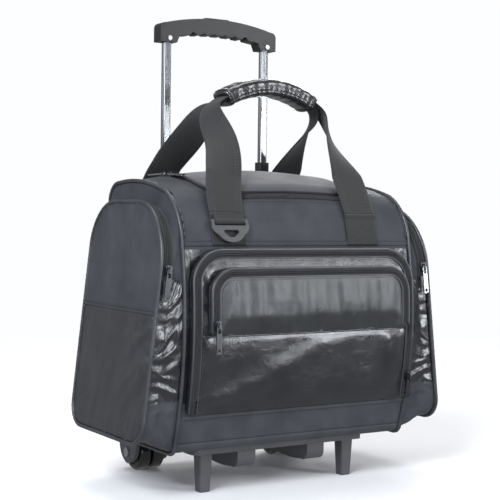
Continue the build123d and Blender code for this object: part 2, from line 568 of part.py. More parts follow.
BUTTON_SEAT, YOKE_T = 620.5, 2.4
button = extrude(Pos(0, TUBE_Y, BUTTON_SEAT) * SlotOverall(*BUTTON), GRIP_TOP - BUTTON_SEAT)
button = fillet(button.edges().group_by(Axis.Z)[-1], 1.6)
button = button - Pos(0, TUBE_Y, BUTTON_SEAT) * Cylinder(4.2, 14)
spring_path = Pos(0, TUBE_Y, 614.3) * Helix(pitch=2.2, height=12.4, radius=3.1)
spring_start = Plane(origin=spring_path @ 0, z_dir=spring_path % 0)
button_spring = sweep(spring_start * Circle(0.45), path=spring_path, is_frenet=True)
ROD_R, ROD_FOOT = 1.4, 369.0
yoke = block(-TUBE_X - 1.5, TUBE_X + 1.5, TUBE_Y - 2.5, TUBE_Y + 2.5, BUTTON_SEAT - 0.1 - YOKE_T,
             BUTTON_SEAT - 0.1)
yoke = yoke + Pos(0, TUBE_Y, BUTTON_SEAT - 0.1 - YOKE_T / 2) * Cylinder(6.2, YOKE_T)
yoke = yoke - Pos(0, TUBE_Y, BUTTON_SEAT) * Cylinder(4.2, 10)
rod = Pos(TUBE_X, TUBE_Y, (ROD_FOOT + BUTTON_SEAT - 1) / 2) * Cylinder(ROD_R, BUTTON_SEAT - 1 - ROD_FOOT)
push_rods = yoke + both(rod)


# --- base, feet, skids and wheels ---------------------------------------------------------------
BASE_TOP = BODY_BOTTOM - AIR
base = extrude(Pos(0, (BASE_FRONT + BASE_REAR) / 2, BASE_TOP - BASE_T)
               * RectangleRounded(2 * BASE_HALF, BASE_REAR - BASE_FRONT, 8), BASE_T)
BASE_SKIN = 3.0
for x0, x1 in ((-129.5, -72), (-37, 37), (72, 129.5)):
    for y0, y1 in ((-38, 12), (15, 56)):
        base = base - block(x0, x1, y0, y1, BASE_TOP - BASE_T - 1, BASE_TOP - BASE_SKIN)
WELL = (82.0, 142.0, 84.0, 140.0)     # notch at each rear corner for the wheel housing
base = base - both(block(*WELL, 0, 100))
base = base + block(-WELL[0] + 0.4, WELL[0] - 0.4, BASE_REAR - 4, 131, BASE_TOP - BASE_T, BASE_TOP)


def tapered_post(x, y, w_top, w_foot, z_top):
    """Square foot that narrows to the floor."""
    head = Pos(x, y, z_top) * RectangleRounded(w_top, w_top, 2.5)
    toe = Pos(x, y, 0) * RectangleRounded(w_foot, w_foot, 2.5)
    return loft([toe, head])


leg = tapered_post(LEG_X, LEG_Y, LEG_TOP_W, LEG_FOOT_W, BASE_TOP - BASE_T - 0.2)
BOLT_SEAT = 30.0
leg = leg - Pos(LEG_X, LEG_Y, BOLT_SEAT / 2 - 1) * Cylinder(3.2, BOLT_SEAT + 2)
leg = leg - Pos(LEG_X, LEG_Y, BOLT_SEAT + 12) * Cylinder(1.9, 26)
bolt = Pos(LEG_X, LEG_Y, BOLT_SEAT - 2) * Cylinder(2.9, 4)
bolt += Pos(LEG_X, LEG_Y, BOLT_SEAT + 13) * Cylinder(1.8, 26)
base = base - both(Pos(LEG_X, LEG_Y, BOLT_SEAT + 12) * Cylinder(1.9, 28))
skid_side = face_of([(-65, 49.8), (-65, 40), ((-62, 32), (-50, 28)), ((-5, 26.5), (38, 34)),
                     (52, 49.8), (-65, 49.8)])
skid = extrude(Plane.YZ.offset(SKID_X - SKID_W / 2) * skid_side, SKID_W)
skid_core = face_of([(-61, 51), (-61, 40), ((-59, 36), (-50, 32.5)), ((-5, 31), (37, 38)),
                     (46, 51), (-61, 51)])
skid = skid - extrude(Plane.YZ.offset(SKID_X - SKID_W / 2 + 4) * skid_core, SKID_W - 8)

CHEEK = face_of([(84.6, 59), (84.6, 38), ((92, 20), (106, 11.5)), ((113, 9.5), (120, 11.5)),
                 ((134, 24), (137.5, 44)), (137.5, 59), (84.6, 59)])
cheek_in = extrude(Plane.YZ.offset(86.5) * CHEEK, 4.0)
cheek_out = extrude(Plane.YZ.offset(134.0) * CHEEK, 5.0)
housing_top = block(86.5, 139.0, 84.6, 137.5, 53.5, 59.0)
housing_web = block(86.5, 139.0, 84.6, 87.2, 46.5, 59.0)
housing_tongue = block(92, 134, 62, 87.2, 46.3, 49.6)
bracket = cheek_in + cheek_out + housing_top + housing_web + housing_tongue
bracket = bracket - rod_x(80, 150, WHEEL_Y, WHEEL_R, AXLE_R + 0.05)
bracket = fillet(bracket.edges().filter_by(Axis.X).group_by(Axis.Y)[-1], 1.0)
axle = rod_x(84.9, 140.6, WHEEL_Y, WHEEL_R, AXLE_R)
axle += rod_x(139.1, 141.4, WHEEL_Y, WHEEL_R, 6.5) + rod_x(84.2, 86.4, WHEEL_Y, WHEEL_R, 6.5)


def wheel_pair():
    """Twin wheels that share one hub: the tyres and the hub."""
    tyres, hub = None, rod_x(WHEEL_X - 19.6, WHEEL_X + 19.6, WHEEL_Y, WHEEL_R, 8.5)
    for s in (-1, 1):
        x = WHEEL_X + s * WHEEL_PITCH / 2
        tread = Pos(x, WHEEL_Y, WHEEL_R) * Rot(0, 90, 0) * Cylinder(WHEEL_R, WHEEL_W)
        tread = fillet(tread.edges().filter_by(GeomType.CIRCLE), 4.0)
        tread = tread - rod_x(x - 20, x + 20, WHEEL_Y, WHEEL_R, RIM_R + 0.06)
        tyres = tread if tyres is None else tyres + tread
        rim = rod_x(x - 7, x + 7, WHEEL_Y, WHEEL_R, RIM_R)
        for t in (-1, 1):
            rim = rim - (rod_x(x + t * 3.5, x + t * 8, WHEEL_Y, WHEEL_R, RIM_R - 2.5)
                         - rod_x(x - 9, x + 9, WHEEL_Y, WHEEL_R, 8.0))
        hub = hub + rim
    return tyres, hub - rod_x(80, 150, WHEEL_Y, WHEEL_R, BORE_R)


tyres, hub = wheel_pair()
HOUSING_SCREWS = ((100, 72), (126, 72))
base_screws = both(bolt)
for x, y in HOUSING_SCREWS:
    shank = Pos(x, y, 50.5) * Cylinder(1.6, 9) + Pos(x, y, 45.4) * Cylinder(3.2, 1.6)
    bore = Pos(x, y, 50.5) * Cylinder(1.7, 9.4)
    base_screws += both(shank)
    base, bracket = base - both(bore), bracket - bore
tube_cradle = block(-97, 97, 105, 136, BASE_TOP + 0.4, 86)
tube_cradle = fillet(tube_cradle.edges().filter_by(Axis.Z), 5)
tube_cradle = tube_cradle - both(block(TUBE_X - OUTER_TUBE[0] / 2 - 0.1, TUBE_X + OUTER_TUBE[0] / 2 + 0.1,
                                       TUBE_Y - OUTER_TUBE[1] / 2 - 0.1,
                                       TUBE_Y + OUTER_TUBE[1] / 2 + 0.1, OUTER_FOOT - 0.1, 90))
SLEEVE = (-106.0, 106.0, BODY_BACK + 2 * AIR, 132.5, 87.0, 318.0)
tube_sleeve = block(*SLEEVE)
tube_sleeve = fillet(tube_sleeve.edges().filter_by(Axis.Z).group_by(Axis.Y)[-1], 14)
inside = block(-104, 104, SLEEVE[2] + 2, 130.5, 80, 330)
tube_sleeve = tube_sleeve - fillet(inside.edges().filter_by(Axis.Z).group_by(Axis.Y)[-1], 12)


# --- the pieces ---------------------------------------------------------------------------------
def left(shape):
    return mirror(shape, about=Plane.YZ)


PARTS = {
    "body_shell": body_shell,
    "base_board": base_board,
    "back_board": back_board,
    "left_end_pocket": left(end_pocket),
    "right_end_pocket": end_pocket,
    "end_piping": both(end_piping),
    "body_zip_half": body_zip_half,
    "lid_zip_half": lid_zip_half,
    "lid_flap": lid_flap,
    "lid_slider_rear": lid_slider_rear,
    "lid_slider_fore": lid_slider_fore,
    "lid_pull_rear": lid_pull_rear,
    "lid_pull_fore": lid_pull_fore,
    "left_end_zip": left(end_zip),
    "right_end_zip": end_zip,
    "left_end_slider": left(end_slider),
    "right_end_slider": end_slider,
    "left_end_pull": left(end_pull),
    "right_end_pull": end_pull,
    "front_pocket": front_pocket,
    "front_pocket_zip": front_pocket_zip,
    "front_pocket_slider": front_slider,
    "front_pocket_pull": front_pull,
    "small_pocket": small_pocket,
    "small_pocket_zip": small_pocket_zip,
    "small_pocket_slider": small_slider,
    "small_pocket_pull": small_pull,
    "front_anchors": front_anchors,
    "rear_anchors": rear_anchors,
    "front_handle": front_handle,
    "rear_handle": rear_handle,
    "handle_wrap": handle_wrap,
    "shoulder_ring": RING_PLANE * ring,
    "ring_loop": RING_PLANE * extrude(loop_side, LOOP_W, dir=(-1, 0, 0)),
    "outer_tubes": both(outer_tube),
    "outer_collars": both(outer_collar),
    "middle_tubes": both(middle_tube),
    "middle_collars": both(middle_collar),
    "inner_tubes": both(inner_tube),
    "lock_blocks": both(lock_block),
    "left_lock_pin": left(lock_pin),
    "right_lock_pin": lock_pin,
    "push_rods": push_rods,
    "release_button": button,
    "button_spring": button_spring,
    "grip_front": grip_front,
    "grip_rear": grip_rear,
    "grip_screws": both(screw),
    "tube_cradle": tube_cradle,
    "tube_sleeve": tube_sleeve,
    "base_frame": base,
    "feet": both(leg),
    "skids": both(skid),
    "base_screws": base_screws,
    "wheel_housings": both(bracket),
    "axles": both(axle),
    "left_tyres": left(tyres),
    "right_tyres": tyres,
    "left_hub": left(hub),
    "right_hub": hub,
}

os.makedirs("parts", exist_ok=True)
for name, shape in PARTS.items():
    export_step(shape, f"parts/{name}.step")
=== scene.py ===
"""Soft-sided rolling flight case: its sewn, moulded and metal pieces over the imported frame."""
import math

import bmesh
import bpy
import numpy as np
from mathutils import Matrix, Vector


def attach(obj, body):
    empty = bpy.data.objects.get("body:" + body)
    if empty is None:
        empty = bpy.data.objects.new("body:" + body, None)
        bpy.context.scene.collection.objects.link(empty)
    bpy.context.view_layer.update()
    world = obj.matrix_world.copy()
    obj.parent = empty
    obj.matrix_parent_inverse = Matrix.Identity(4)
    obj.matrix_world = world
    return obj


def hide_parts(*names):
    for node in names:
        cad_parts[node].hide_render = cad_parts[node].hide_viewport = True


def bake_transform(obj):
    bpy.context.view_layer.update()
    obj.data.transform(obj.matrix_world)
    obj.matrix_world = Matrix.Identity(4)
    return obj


bl_info = {
    "name": "Flight Case Maker",
    "version": (1, 0, 0),
    "blender": (4, 5, 0),
    "location": "3D View > Sidebar > Flight Case",
    "description": "Sews the panels, webbing and zips of a rolling flight case and finishes its hardware",
    "category": "Object",
}

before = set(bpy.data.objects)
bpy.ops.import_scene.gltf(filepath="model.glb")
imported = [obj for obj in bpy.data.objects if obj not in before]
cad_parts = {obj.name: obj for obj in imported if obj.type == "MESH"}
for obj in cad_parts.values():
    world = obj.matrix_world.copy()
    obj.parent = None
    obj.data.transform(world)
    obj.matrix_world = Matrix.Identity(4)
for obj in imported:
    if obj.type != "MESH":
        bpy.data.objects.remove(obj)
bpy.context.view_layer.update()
MM = 0.001

# Sizes in millimetres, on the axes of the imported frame.
BODY_HALF, CROWN = 175.0, 17.0
LID_LEFT, LID_RIGHT, LID_FRONT, LID_REAR, LID_CORNER = -128.0, 106.0, -78.0, 75.0, 32.0
ZIP_SLOT = 5.0
RIM_REACH, RIM_SLOPE = 240.0, math.atan(0.115)
RIM_BOX = (-110.0, 100.0, 76.0, 375.0)
RIM_BAND = 18.0
YOKE_SEAM, SKIRT_SEAM, WAIST_SEAM = 319.0, 109.0, 236.0
POCKET_BOX = (-168.0, 171.0, 109.0, 314.0, 44.0)
SMALL_BOX = (-147.0, 158.0, 208.0, 291.0, 34.0)
POCKET_OUT, SMALL_OUT = 9.4, 17.8      # height of each pocket's face over the case
STRAP_X = (-108.5, 97.5)
STRAP_W, STRAP_T, GRIP_STRAP_W = 50.0, 2.4, 32.0
WRAP_HALF, WRAP_RISE, WRAP_X, WRAP_Z, WRAP_W, WRAP_T = 69.0, 19.0, 9.0, 529.0, 46.0, 27.0
ARCH_R = (WRAP_HALF ** 2 + WRAP_RISE ** 2) / (2 * WRAP_RISE)
ARCH_ANGLE = math.degrees(math.asin(WRAP_HALF / ARCH_R))
ARCH_Z = WRAP_Z - ARCH_R


# --- colour and materials -----------------------------------------------------------------------
def srgb(code):
    """Linear colour with alpha from a six-digit sRGB hex code."""
    parts = [int(code[i:i + 2], 16) / 255 for i in (0, 2, 4)]
    return tuple(c / 12.92 if c <= 0.04045 else ((c + 0.055) / 1.055) ** 2.4 for c in parts) + (1.0,)


def add_node(tree, kind, inputs=None, **settings):
    """Add a shader node; inputs maps a socket's name or number to a value or to another socket."""
    made = tree.nodes.new(kind)
    for key, value in settings.items():
        setattr(made, key, value)
    for key, value in (inputs or {}).items():
        if isinstance(value, bpy.types.NodeSocket):
            tree.links.new(value, made.inputs[key])
        else:
            made.inputs[key].default_value = value
    return made


def new_material(name):
    """Empty node material, its tree, and a Principled shader wired to the output."""
    material = bpy.data.materials.new(name)
    material.use_nodes = True
    tree = material.node_tree
    tree.nodes.clear()
    shader = add_node(tree, "ShaderNodeBsdfPrincipled")
    add_node(tree, "ShaderNodeOutputMaterial", {"Surface": shader.outputs[0]})
    return material, tree, shader


def band_scale(pitch_mm):
    """Scale of a Wave texture whose bands repeat every pitch_mm on coordinates in metres."""
    return 2 * math.pi / 20 / (pitch_mm * MM)


def grain_scale(size_mm):
    """Scale of a Noise texture whose features are size_mm across on coordinates in metres."""
    return 1 / (size_mm * MM)


def woven_fabric(name, dark, light, thread_mm, roughness, weave=0.35, sheen=0.25, coat=0.0,
                 coat_roughness=0.2, crease_mm=0.0, crease=0.3, specular=0.5):
    """Woven nylon: crossing threads in the bump, slow shade changes, and creases if it is coated."""
    material, tree, shader = new_material(name)
    uv = add_node(tree, "ShaderNodeUVMap", uv_map="lay").outputs[0]
    place = add_node(tree, "ShaderNodeTexCoord").outputs["Object"]
    warp = add_node(tree, "ShaderNodeTexWave", {"Vector": uv, "Scale": band_scale(thread_mm)},
                    bands_direction="X")
    weft = add_node(tree, "ShaderNodeTexWave", {"Vector": uv, "Scale": band_scale(thread_mm)},
                    bands_direction="Y")
    threads = add_node(tree, "ShaderNodeMath", {0: warp.outputs["Fac"], 1: weft.outputs["Fac"]},
                       operation="MULTIPLY").outputs[0]
    shade = add_node(tree, "ShaderNodeTexNoise", {"Vector": place, "Scale": grain_scale(45), "Detail": 4.0,
                                                  "Roughness": 0.6}).outputs["Fac"]
    mixed = add_node(tree, "ShaderNodeMath", {0: threads, 1: 0.35, 2: shade},
                     operation="MULTIPLY_ADD").outputs[0]
    amount = add_node(tree, "ShaderNodeMapRange", {"Value": mixed, "From Min": 0.35, "From Max": 0.95})
    colour = add_node(tree, "ShaderNodeMix", {0: amount.outputs[0], 6: dark, 7: light},
                      data_type="RGBA").outputs[2]
    tree.links.new(colour, shader.inputs["Base Color"])
    rough = add_node(tree, "ShaderNodeMapRange", {"Value": shade, "From Min": 0.3, "From Max": 0.7,
                                                  "To Min": roughness - 0.05, "To Max": roughness + 0.06})
    tree.links.new(rough.outputs[0], shader.inputs["Roughness"])
    bump = add_node(tree, "ShaderNodeBump", {"Height": threads, "Strength": weave, "Distance": 0.0004})
    if crease_mm:
        folds = add_node(tree, "ShaderNodeTexNoise",
                         {"Vector": place, "Scale": grain_scale(crease_mm), "Detail": 5.0,
                          "Roughness": 0.62, "Distortion": 0.9}).outputs["Fac"]
        bump = add_node(tree, "ShaderNodeBump", {"Height": folds, "Strength": crease, "Distance": 0.003,
                                                 "Normal": bump.outputs[0]})
    tree.links.new(bump.outputs[0], shader.inputs["Normal"])
    shader.inputs["Specular IOR Level"].default_value = specular
    shader.inputs["Sheen Weight"].default_value = sheen
    shader.inputs["Sheen Roughness"].default_value = 0.45
    shader.inputs["Coat Weight"].default_value = coat
    shader.inputs["Coat Roughness"].default_value = coat_roughness
    return material


def webbing_fabric(name, dark, light, rib_mm, roughness):
    """Nylon webbing: cross ribs, lengthwise ridges near both edges and a little fuzz."""
    material, tree, shader = new_material(name)
    uv = add_node(tree, "ShaderNodeUVMap", uv_map="lay").outputs[0]
    place = add_node(tree, "ShaderNodeTexCoord").outputs["Object"]
    ribs = add_node(tree, "ShaderNodeTexWave", {"Vector": uv, "Scale": band_scale(rib_mm),
                                                "Distortion": 0.6, "Detail": 1.0},
                    bands_direction="Y").outputs["Fac"]
    lines = add_node(tree, "ShaderNodeTexWave", {"Vector": uv, "Scale": band_scale(rib_mm * 2.4)},
                     bands_direction="X").outputs["Fac"]
    fuzz = add_node(tree, "ShaderNodeTexNoise", {"Vector": place, "Scale": grain_scale(2.2),
                                                 "Detail": 3.0}).outputs["Fac"]
    cloth = add_node(tree, "ShaderNodeMath", {0: lines, 1: 0.25, 2: ribs},
                     operation="MULTIPLY_ADD").outputs[0]
    half = add_node(tree, "ShaderNodeMath", {0: cloth, 1: 0.6}, operation="MULTIPLY").outputs[0]
    height = add_node(tree, "ShaderNodeMath", {0: fuzz, 1: 0.4, 2: half}, operation="MULTIPLY_ADD")
    colour = add_node(tree, "ShaderNodeMix", {0: height.outputs[0], 6: dark, 7: light},
                      data_type="RGBA").outputs[2]
    tree.links.new(colour, shader.inputs["Base Color"])
    bump = add_node(tree, "ShaderNodeBump", {"Height": height.outputs[0], "Strength": 0.6,
                                             "Distance": 0.0006})
    tree.links.new(bump.outputs[0], shader.inputs["Normal"])
    shader.inputs["Roughness"].default_value = roughness
    shader.inputs["Sheen Weight"].default_value = 0.15
    shader.inputs["Sheen Roughness"].default_value = 0.5
    return material


def moulded_plastic(name, dark, light, grain_mm, roughness, bump=0.15, coat=0.0, specular=0.5):
    """Injection-moulded plastic: fine spark-eroded grain with slightly uneven gloss."""
    material, tree, shader = new_material(name)
    place = add_node(tree, "ShaderNodeTexCoord").outputs["Object"]
    grain = add_node(tree, "ShaderNodeTexNoise", {"Vector": place, "Scale": grain_scale(grain_mm),
                                                  "Detail": 3.0}).outputs["Fac"]
    handling = add_node(tree, "ShaderNodeTexNoise", {"Vector": place, "Scale": grain_scale(28),
                                                     "Detail": 4.0}).outputs["Fac"]
    colour = add_node(tree, "ShaderNodeMix", {0: handling, 6: dark, 7: light},
                      data_type="RGBA").outputs[2]
    tree.links.new(colour, shader.inputs["Base Color"])
    rough = add_node(tree, "ShaderNodeMapRange", {"Value": handling, "From Min": 0.3, "From Max": 0.7,
                                                  "To Min": roughness - 0.06, "To Max": roughness + 0.08})
    tree.links.new(rough.outputs[0], shader.inputs["Roughness"])
    edge = add_node(tree, "ShaderNodeBevel", {"Radius": 0.0007}, samples=4).outputs[0]
    height = add_node(tree, "ShaderNodeBump", {"Height": grain, "Strength": bump, "Distance": 0.0003,
                                               "Normal": edge})
    tree.links.new(height.outputs[0], shader.inputs["Normal"])
    shader.inputs["Coat Weight"].default_value = coat
    shader.inputs["Coat Roughness"].default_value = 0.12
    shader.inputs["Specular IOR Level"].default_value = specular
    return material


def worked_metal(name, dark, light, roughness, brush_mm, brush=(1.0, 1.0, 0.03), bump=0.08):
    """Metal with the marks of its finishing: streaks along the brushed direction."""
    material, tree, shader = new_material(name)
    place = add_node(tree, "ShaderNodeTexCoord").outputs["Object"]
    stretched = add_node(tree, "ShaderNodeMapping", {"Vector": place, "Scale": brush}).outputs[0]
    streaks = add_node(tree, "ShaderNodeTexNoise", {"Vector": stretched, "Scale": grain_scale(brush_mm),
                                                    "Detail": 4.0, "Roughness": 0.65}).outputs["Fac"]
    colour = add_node(tree, "ShaderNodeMix", {0: streaks, 6: dark, 7: light},
                      data_type="RGBA").outputs[2]
    tree.links.new(colour, shader.inputs["Base Color"])
    rough = add_node(tree, "ShaderNodeMapRange", {"Value": streaks, "From Min": 0.25, "From Max": 0.75,
                                                  "To Min": roughness - 0.05, "To Max": roughness + 0.07})
    tree.links.new(rough.outputs[0], shader.inputs["Roughness"])
    height = add_node(tree, "ShaderNodeBump", {"Height": streaks, "Strength": bump, "Distance": 0.0002})
    tree.links.new(height.outputs[0], shader.inputs["Normal"])
    shader.inputs["Metallic"].default_value = 1.0
    return material


MATERIALS = {}


def material(key):
    """The named finish, made on first use."""
    if key not in MATERIALS:
        MATERIALS[key] = FINISHES[key]()
    return MATERIALS[key]


FINISHES = {
    # Plain-woven 840 denier nylon: matt charcoal with a visible grid of threads (drawn 1.3 mm
    # apart instead of 0.6 so that it still shows).
    "panel": lambda: woven_fabric("nylon_840d_plain_woven", settings().cloth_colour,
                                  srgb("43464b"), 1.3, 0.55, weave=0.5, sheen=0.03, specular=0.3,
                                  crease_mm=60, crease=0.25),
    # The same cloth with a glazed polyurethane face: dark, glossy, with soft creases.
    "coated": lambda: woven_fabric("nylon_polyurethane_glazed", settings().glazed_colour,
                                   srgb("202226"), 1.0, 0.24, weave=0.08, sheen=0.0, coat=0.7,
                                   coat_roughness=0.16, specular=0.8, crease_mm=24, crease=0.5),
    # Lightly calendered nylon: between the two, a soft sheen along the gathers.
    "satin": lambda: woven_fabric("nylon_calendered_woven", settings().satin_colour,
                                  srgb("2b2e32"), 1.1, 0.32, weave=0.2, sheen=0.0, coat=0.2,
                                  coat_roughness=0.25, specular=0.8, crease_mm=22, crease=0.15),
    # Inside: thin polyester lining, plain woven, mid grey.
    "lining": lambda: woven_fabric("polyester_lining_woven", srgb("3a3b3f"), srgb("4b4c50"), 1.0, 0.7),
    # Heavy nylon webbing, shuttle woven: cross ribs 2.2 mm apart.
    "webbing": lambda: webbing_fabric("nylon_webbing_ribbed", settings().webbing_colour,
                                      srgb("232425"), 2.2, 0.7),
    # Zip tape: knitted polyester, finer than the panels.
    "tape": lambda: webbing_fabric("polyester_zip_tape_knitted", srgb("121214"), srgb("242528"), 1.2, 0.78),
    # Bonded nylon sewing thread, slightly lighter than the cloth because it stands in the light.
    "thread": lambda: moulded_plastic("nylon_thread_bonded", srgb("3a3b3e"), srgb("5a5b5f"), 0.8, 0.55),
    # Nylon monofilament coil, drawn and set: small hard glints.
    "coil": lambda: moulded_plastic("nylon_coil_drawn", srgb("1c1d1f"), srgb("3c3d40"), 1.0, 0.35),
    # Piping: coated cord cover, tight and glossy.
    "piping": lambda: woven_fabric("nylon_piping_glazed", srgb("26282c"), srgb("3e4146"), 1.0, 0.36,
                                   weave=0.15, sheen=0.0, coat=0.2, specular=0.6),
    # Zinc die-cast zip parts, black-nickel plated.
    "gunmetal": lambda: worked_metal("zinc_black_nickel_plated", srgb("4a4b4e"), srgb("707175"), 0.3, 1.5,
                                     (1, 1, 1)),
    # Zinc die-cast pulls, bright-nickel plated and tumbled.
    "nickel": lambda: worked_metal("zinc_bright_nickel_plated", srgb("b5b6b8"), srgb("dcdddf"), 0.24, 1.5,
                                   (1, 1, 1)),
    # Anodised aluminium, drawn tube: fine streaks up the tube, clear grey-silver finish.
    "tube": lambda: worked_metal("aluminium_anodised_drawn", settings().tube_colour,
                                 srgb("c4c6ca"), 0.15, 1.2, (1, 1, 0.02)),
    # Zinc-plated steel screws and rivets.
    "steel": lambda: worked_metal("steel_zinc_plated", srgb("b0b1b3"), srgb("d9dadb"), 0.28, 1.0, (1, 1, 1)),
    # ABS, moulded with a fine texture: the grip and the collars.
    "grip": lambda: moulded_plastic("abs_moulded_textured", srgb("121214"), srgb("202123"), 0.9, 0.36),
    # Polypropylene, moulded, mid-dark grey and matt: base, feet, skids, wheel brackets.
    "base": lambda: moulded_plastic("polypropylene_moulded_matt", srgb("3c3d40"), srgb("505154"), 1.2, 0.5),
    # Acetal, moulded: the grey shoulder-strap ring.
    "ring": lambda: moulded_plastic("acetal_moulded_grey", srgb("323336"), srgb("434447"), 0.9, 0.34),
    # Thermoplastic polyurethane tyre, cast smooth.
    "tyre": lambda: moulded_plastic("polyurethane_tyre_cast", srgb("131314"), srgb("212122"), 1.5, 0.24,
                                    coat=0.4),
    # Polypropylene wheel centre, moulded and polished.
    "hub": lambda: moulded_plastic("polypropylene_hub_moulded", srgb("2b2c2f"), srgb("3c3d40"), 1.2, 0.3),
    # Grey fibreboard stiffener, pressed.
    "board": lambda: moulded_plastic("fibreboard_pressed", srgb("6b6357"), srgb("7d7466"), 1.5, 0.85),
}


# --- curves and surfaces, in millimetres --------------------------------------------------------
def circle_centre(a, b, c):
    """Centre of the circle through three points in a plane."""
    d = 2 * (a[0] * (b[1] - c[1]) + b[0] * (c[1] - a[1]) + c[0] * (a[1] - b[1]))
    sa, sb, sc = (p[0] ** 2 + p[1] ** 2 for p in (a, b, c))
    return ((sa * (b[1] - c[1]) + sb * (c[1] - a[1]) + sc * (a[1] - b[1])) / d,
            (sa * (c[0] - b[0]) + sb * (a[0] - c[0]) + sc * (b[0] - a[0])) / d)


def along_edge(start, via, end, t):
    """Points at shares t of a straight edge, or of the arc from start through via to end."""
    t = np.asarray(t, float)[:, None]
    start, end = np.array(start, float), np.array(end, float)
    if via is None:
        return start + (end - start) * t
    centre = np.array(circle_centre(start, via, end))
    radius = np.linalg.norm(start - centre)
    a, m, b = (math.atan2(p[1] - centre[1], p[0] - centre[0]) for p in (start, np.array(via), end))
    turn = (b - a) % (2 * math.pi)
    if (m - a) % (2 * math.pi) > turn:
        turn -= 2 * math.pi
    angle = a + turn * t
    return centre + radius * np.hstack([np.cos(angle), np.sin(angle)])


def body_edges(crown, t=0.0):
    """The case's outline across its length, as y and z, t inside its face."""
    c = crown
    shoulder, hinge = (-63 + 0.5 * t, 382.5 - 0.9 * t + 0.75 * c), (70, 395.5 - t + 0.95 * c)
    back = (98 - t, 367 + 0.4 * c)
    return [((-92 + t, 72), (-112.5 + t, 190), (-104 + t, 322)),
            ((-104 + t, 322), (-89.5 + 0.8 * t, 360 - 0.6 * t + 0.35 * c), shoulder),
            (shoulder, (5, 396.5 - t + c), hinge),
            (hinge, (90.5 - 0.7 * t, 387.5 - 0.7 * t + 0.75 * c), back),
            (back, None, (98 - t, 74)),
            ((98 - t, 74), (94 - 0.7 * t, 64 + 0.7 * t), (84, 60 + t)),
            ((84, 60 + t), None, (-80, 60 + t)),
            ((-80, 60 + t), (-88.5 + 0.7 * t, 63.5 + 0.7 * t), (-92 + t, 72))]


def rim_edges(t=0.0):
    """An end pocket's rim as y and height up its sloping face, t inside."""
    y0, y1, z0, z1 = RIM_BOX[0] + t, RIM_BOX[1] - t, RIM_BOX[2] + t, RIM_BOX[3] - t
    head, rear, foot, k = 84.0 - t, 60.0 - t, 32.0 - t, 1 - math.sqrt(0.5)
    return [((y0, z0 + foot), None, (y0, z1 - head)),
            ((y0, z1 - head), (y0 + k * head, z1 - k * head), (y0 + head, z1)),
            ((y0 + head, z1), None, (y1 - rear, z1)),
            ((y1 - rear, z1), (y1 - k * rear, z1 - k * rear), (y1, z1 - rear)),
            ((y1, z1 - rear), None, (y1, z0 + foot)),
            ((y1, z0 + foot), (y1 - k * foot, z0 + k * foot), (y1 - foot, z0)),
            ((y1 - foot, z0), None, (y0 + foot, z0)),
            ((y0 + foot, z0), (y0 + k * foot, z0 + k * foot), (y0, z0 + foot))]


EDGE_STEPS = (84, 24, 44, 14, 96, 8, 56, 8)


def outline(edges, steps=EDGE_STEPS):
    """A closed outline as points, with a set number on each edge."""
    return np.vstack([along_edge(*edge, np.arange(n) / n) for edge, n in zip(edges, steps)])


def rim_point(y, v, depth, side):
    """Points on, or depth behind, the sloping outer face of the end pocket on one side."""
    y, v, depth = np.broadcast_arrays(np.asarray(y, float), v, depth)
    x = RIM_REACH - v * math.sin(RIM_SLOPE) - depth * math.cos(RIM_SLOPE)
    z = v * math.cos(RIM_SLOPE) - depth * math.sin(RIM_SLOPE)
    return np.stack([side * x, y, z], -1)


def crown_at(x):
    return CROWN * (1 - (np.asarray(x) / BODY_HALF) ** 2)


BULGE = circle_centre((-92, 72), (-112.5, 190), (-104, 322))
BULGE_R = math.hypot(-112.5 - BULGE[0], 190 - BULGE[1])


def front_point(x, z, out):
    """Points on the case's bulging front, out millimetres in front of its cloth."""
    x, z, out = np.broadcast_arrays(np.asarray(x, float), z, out)
    clipped = np.clip(z, 62, 360)
    y = BULGE[0] - np.sqrt(BULGE_R ** 2 - (clipped - BULGE[1]) ** 2) - out
    return np.stack([x, y, z], -1)


def shoulder_point(x, z, out):
    """Points on the front of the case between the yoke seam and the lid, and outward directions."""
    points, ways = [], []
    for xi, zi in zip(np.broadcast_to(x, np.shape(z)), z):
        edges = body_edges(float(crown_at(xi)))
        path = np.vstack([along_edge(*edges[0], np.linspace(0.6, 1, 40)),
                          along_edge(*edges[1], np.linspace(0.01, 1, 60))])
        y = np.interp(zi, path[:, 1], path[:, 0])
        slope = (np.interp(zi + 1, path[:, 1], path[:, 0]) - np.interp(zi - 1, path[:, 1], path[:, 0])) / 2
        way = np.array([0, -1, slope]) / math.hypot(1, slope)
        points.append(np.array([xi, y, zi]) + way * out)
        ways.append(way)
    return np.array(points), np.array(ways)


def cloth_noise(p, seed):
    """Smooth noise about -1 to 1 at each row of p (two numbers a row), one fold a unit."""
    p = np.asarray(p, float)
    angles = np.random.default_rng(seed).uniform(0, 2 * math.pi, (64, 64))
    cell = np.floor(p).astype(int)
    part = p - cell
    ease = part ** 3 * (part * (part * 6 - 15) + 10)

    def corner(i, j):
        a = angles[(cell[..., 0] + i) % 64, (cell[..., 1] + j) % 64]
        return np.cos(a) * (part[..., 0] - i) + np.sin(a) * (part[..., 1] - j)

    low = corner(0, 0) * (1 - ease[..., 0]) + corner(1, 0) * ease[..., 0]
    high = corner(0, 1) * (1 - ease[..., 0]) + corner(1, 1) * ease[..., 0]
    return 1.5 * (low * (1 - ease[..., 1]) + high * ease[..., 1])


def crumple(s, w, size, seed):
    """Creased cloth: sharp ridges between soft hollows, at positions s and w in millimetres."""
    warp = 0.6 * cloth_noise(np.stack([s, w], -1) / (size * 1.7), seed + 7)
    p = np.stack([s / size + warp, w / size - warp], -1)
    ridge = 1 - np.abs(cloth_noise(p, seed))
    fine = 1 - np.abs(cloth_noise(p * 2.1 + 5, seed + 1))
    return 0.7 * ridge ** 3 + 0.3 * fine ** 2 - 0.45


